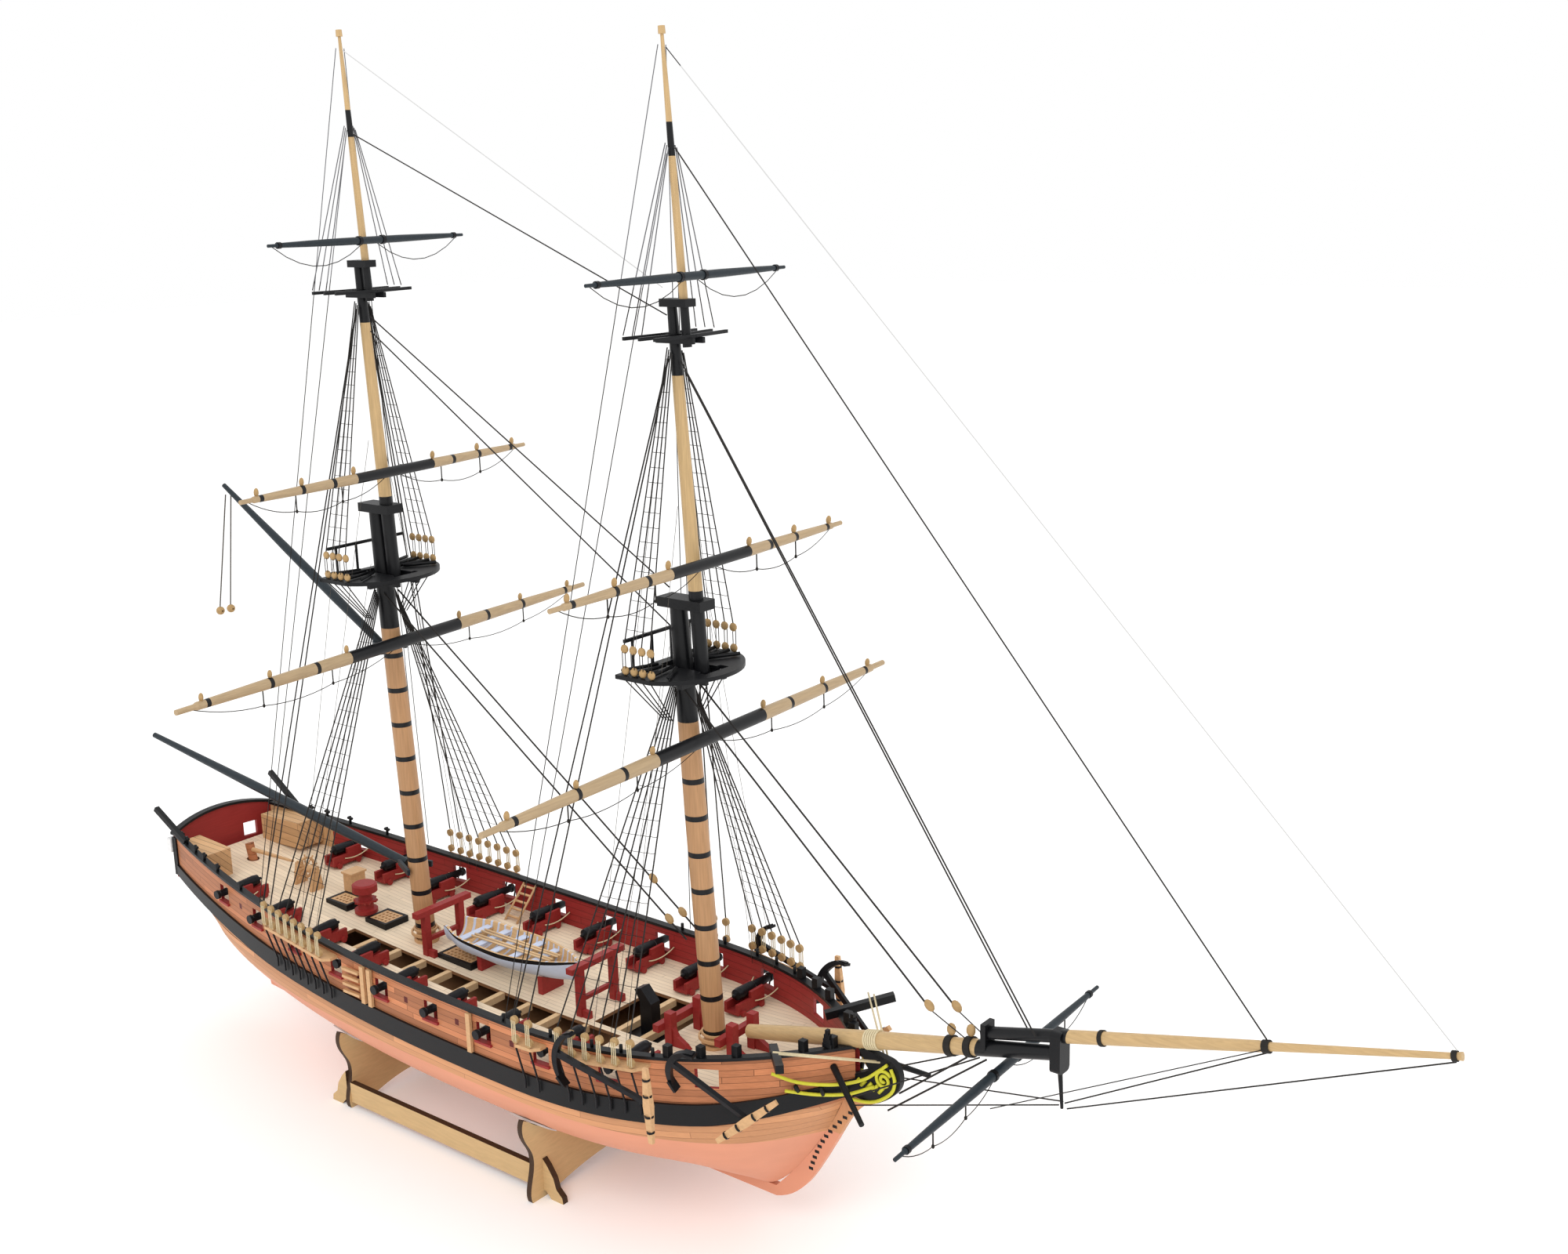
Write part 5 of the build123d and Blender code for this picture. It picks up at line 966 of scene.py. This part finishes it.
rings("jibboom_collars", jib_collars, tarred, "hull", "black_line", 0.6, 16)

# ---------------------------------------------------------------- hanging cords of the gaff
PENDANT_D = 0.7
PENDANTS = {
    "vang_pendant_port": ((-274.0, 2.4, 294.0), (-289.0, 5.4, 230.6)),
    "vang_pendant_starboard": ((-272.0, -2.4, 293.0), (-282.6, -5.4, 232.4)),
}
for name, (peak, low) in PENDANTS.items():
    peak, low = Vector(peak) * MM, Vector(low) * MM
    curve = bpy.data.curves.new(name + "_cord", "CURVE")
    curve.dimensions = "3D"
    spline = curve.splines.new("NURBS")
    spline.points.add(3)
    for i, point in enumerate(spline.points):
        point.co = (*peak.lerp(low, i / 3), 1.0)
    spline.order_u = 3
    spline.use_endpoint_u = True
    curve.bevel_depth = PENDANT_D / 2 * MM
    curve.bevel_resolution = 3
    curve.materials.append(fine_line)
    pendant = bpy.data.objects.new(name + "_cord", curve)
    bpy.context.scene.collection.objects.link(pendant)
    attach(pendant, "gaff")
    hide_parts(name)

# ---------------------------------------------------------------- floor, light and camera
floor_mesh = bpy.data.meshes.new("floor")
FLOOR = 6.0
corners = [(x * FLOOR, y * FLOOR, 0) for x, y in ((-1, -1), (1, -1), (1, 1), (-1, 1))]
floor_mesh.from_pydata(corners, [], [(0, 1, 2, 3)])
floor = bpy.data.objects.new("floor", floor_mesh)
bpy.context.scene.collection.objects.link(floor)
floor_shade = Shade("floor_paper", 0.9)
floor_shade.surface.inputs["Emission Color"].default_value = (1.0, 1.0, 1.0, 1.0)
floor_shade.surface.inputs["Emission Strength"].default_value = 0.12
floor_mesh.materials.append(floor_shade.finish((0.95, 0.945, 0.94)))


def area_light(name, place, target, size, power, colour):
    data = bpy.data.lights.new(name, "AREA")
    data.shape = "SQUARE"
    data.size = size
    data.energy = power
    data.color = colour
    lamp = bpy.data.objects.new(name, data)
    bpy.context.scene.collection.objects.link(lamp)
    lamp.location = place
    lamp.rotation_mode = "QUATERNION"
    lamp.rotation_quaternion = (Vector(target) - Vector(place)).to_track_quat("-Z", "Y")


area_light("key", (0.6, -1.6, 1.9), (-0.05, 0, 0.15), 1.2, 15.0, (1.0, 0.985, 0.96))
area_light("fill", (1.8, 0.9, 1.3), (0, 0, 0.15), 1.6, 3.0, (0.97, 0.985, 1.0))
area_light("top", (-0.5, 0.5, 2.2), (0, 0, 0.1), 1.8, 3.0, (1.0, 1.0, 1.0))
world = bpy.data.worlds.new("studio")
world.use_nodes = True
world.node_tree.nodes["Background"].inputs["Color"].default_value = (1.0, 1.0, 1.0, 1.0)
world.node_tree.nodes["Background"].inputs["Strength"].default_value = 1.0
bpy.context.scene.world = world

CAMERA_PLACE = Vector((526.36, -541.13, 445.01))
YAW, PITCH, ROLL = 2.2475, -0.2354, -0.028
ahead = Vector((cos(PITCH) * cos(YAW), cos(PITCH) * sin(YAW), sin(PITCH)))
level = ahead.cross(Vector((0, 0, 1))).normalized()
above = level.cross(ahead)
right = level * cos(ROLL) + above * sin(ROLL)
up = above * cos(ROLL) - level * sin(ROLL)
bpy.context.scene.view_settings.view_transform = "Standard"
camera_data = bpy.data.cameras.new("camera")
camera_data.lens = 40.996
camera_data.sensor_width = 36.0
camera_data.shift_x = 0.00498
camera_data.shift_y = -0.01249
camera_data.clip_start = 0.01
camera_data.clip_end = 50.0
camera = bpy.data.objects.new("camera", camera_data)
bpy.context.scene.collection.objects.link(camera)
turned = Matrix((right, up, -ahead)).transposed().to_4x4()
camera.matrix_world = Matrix.Translation(CAMERA_PLACE * MM) @ turned
bpy.context.scene.camera = camera
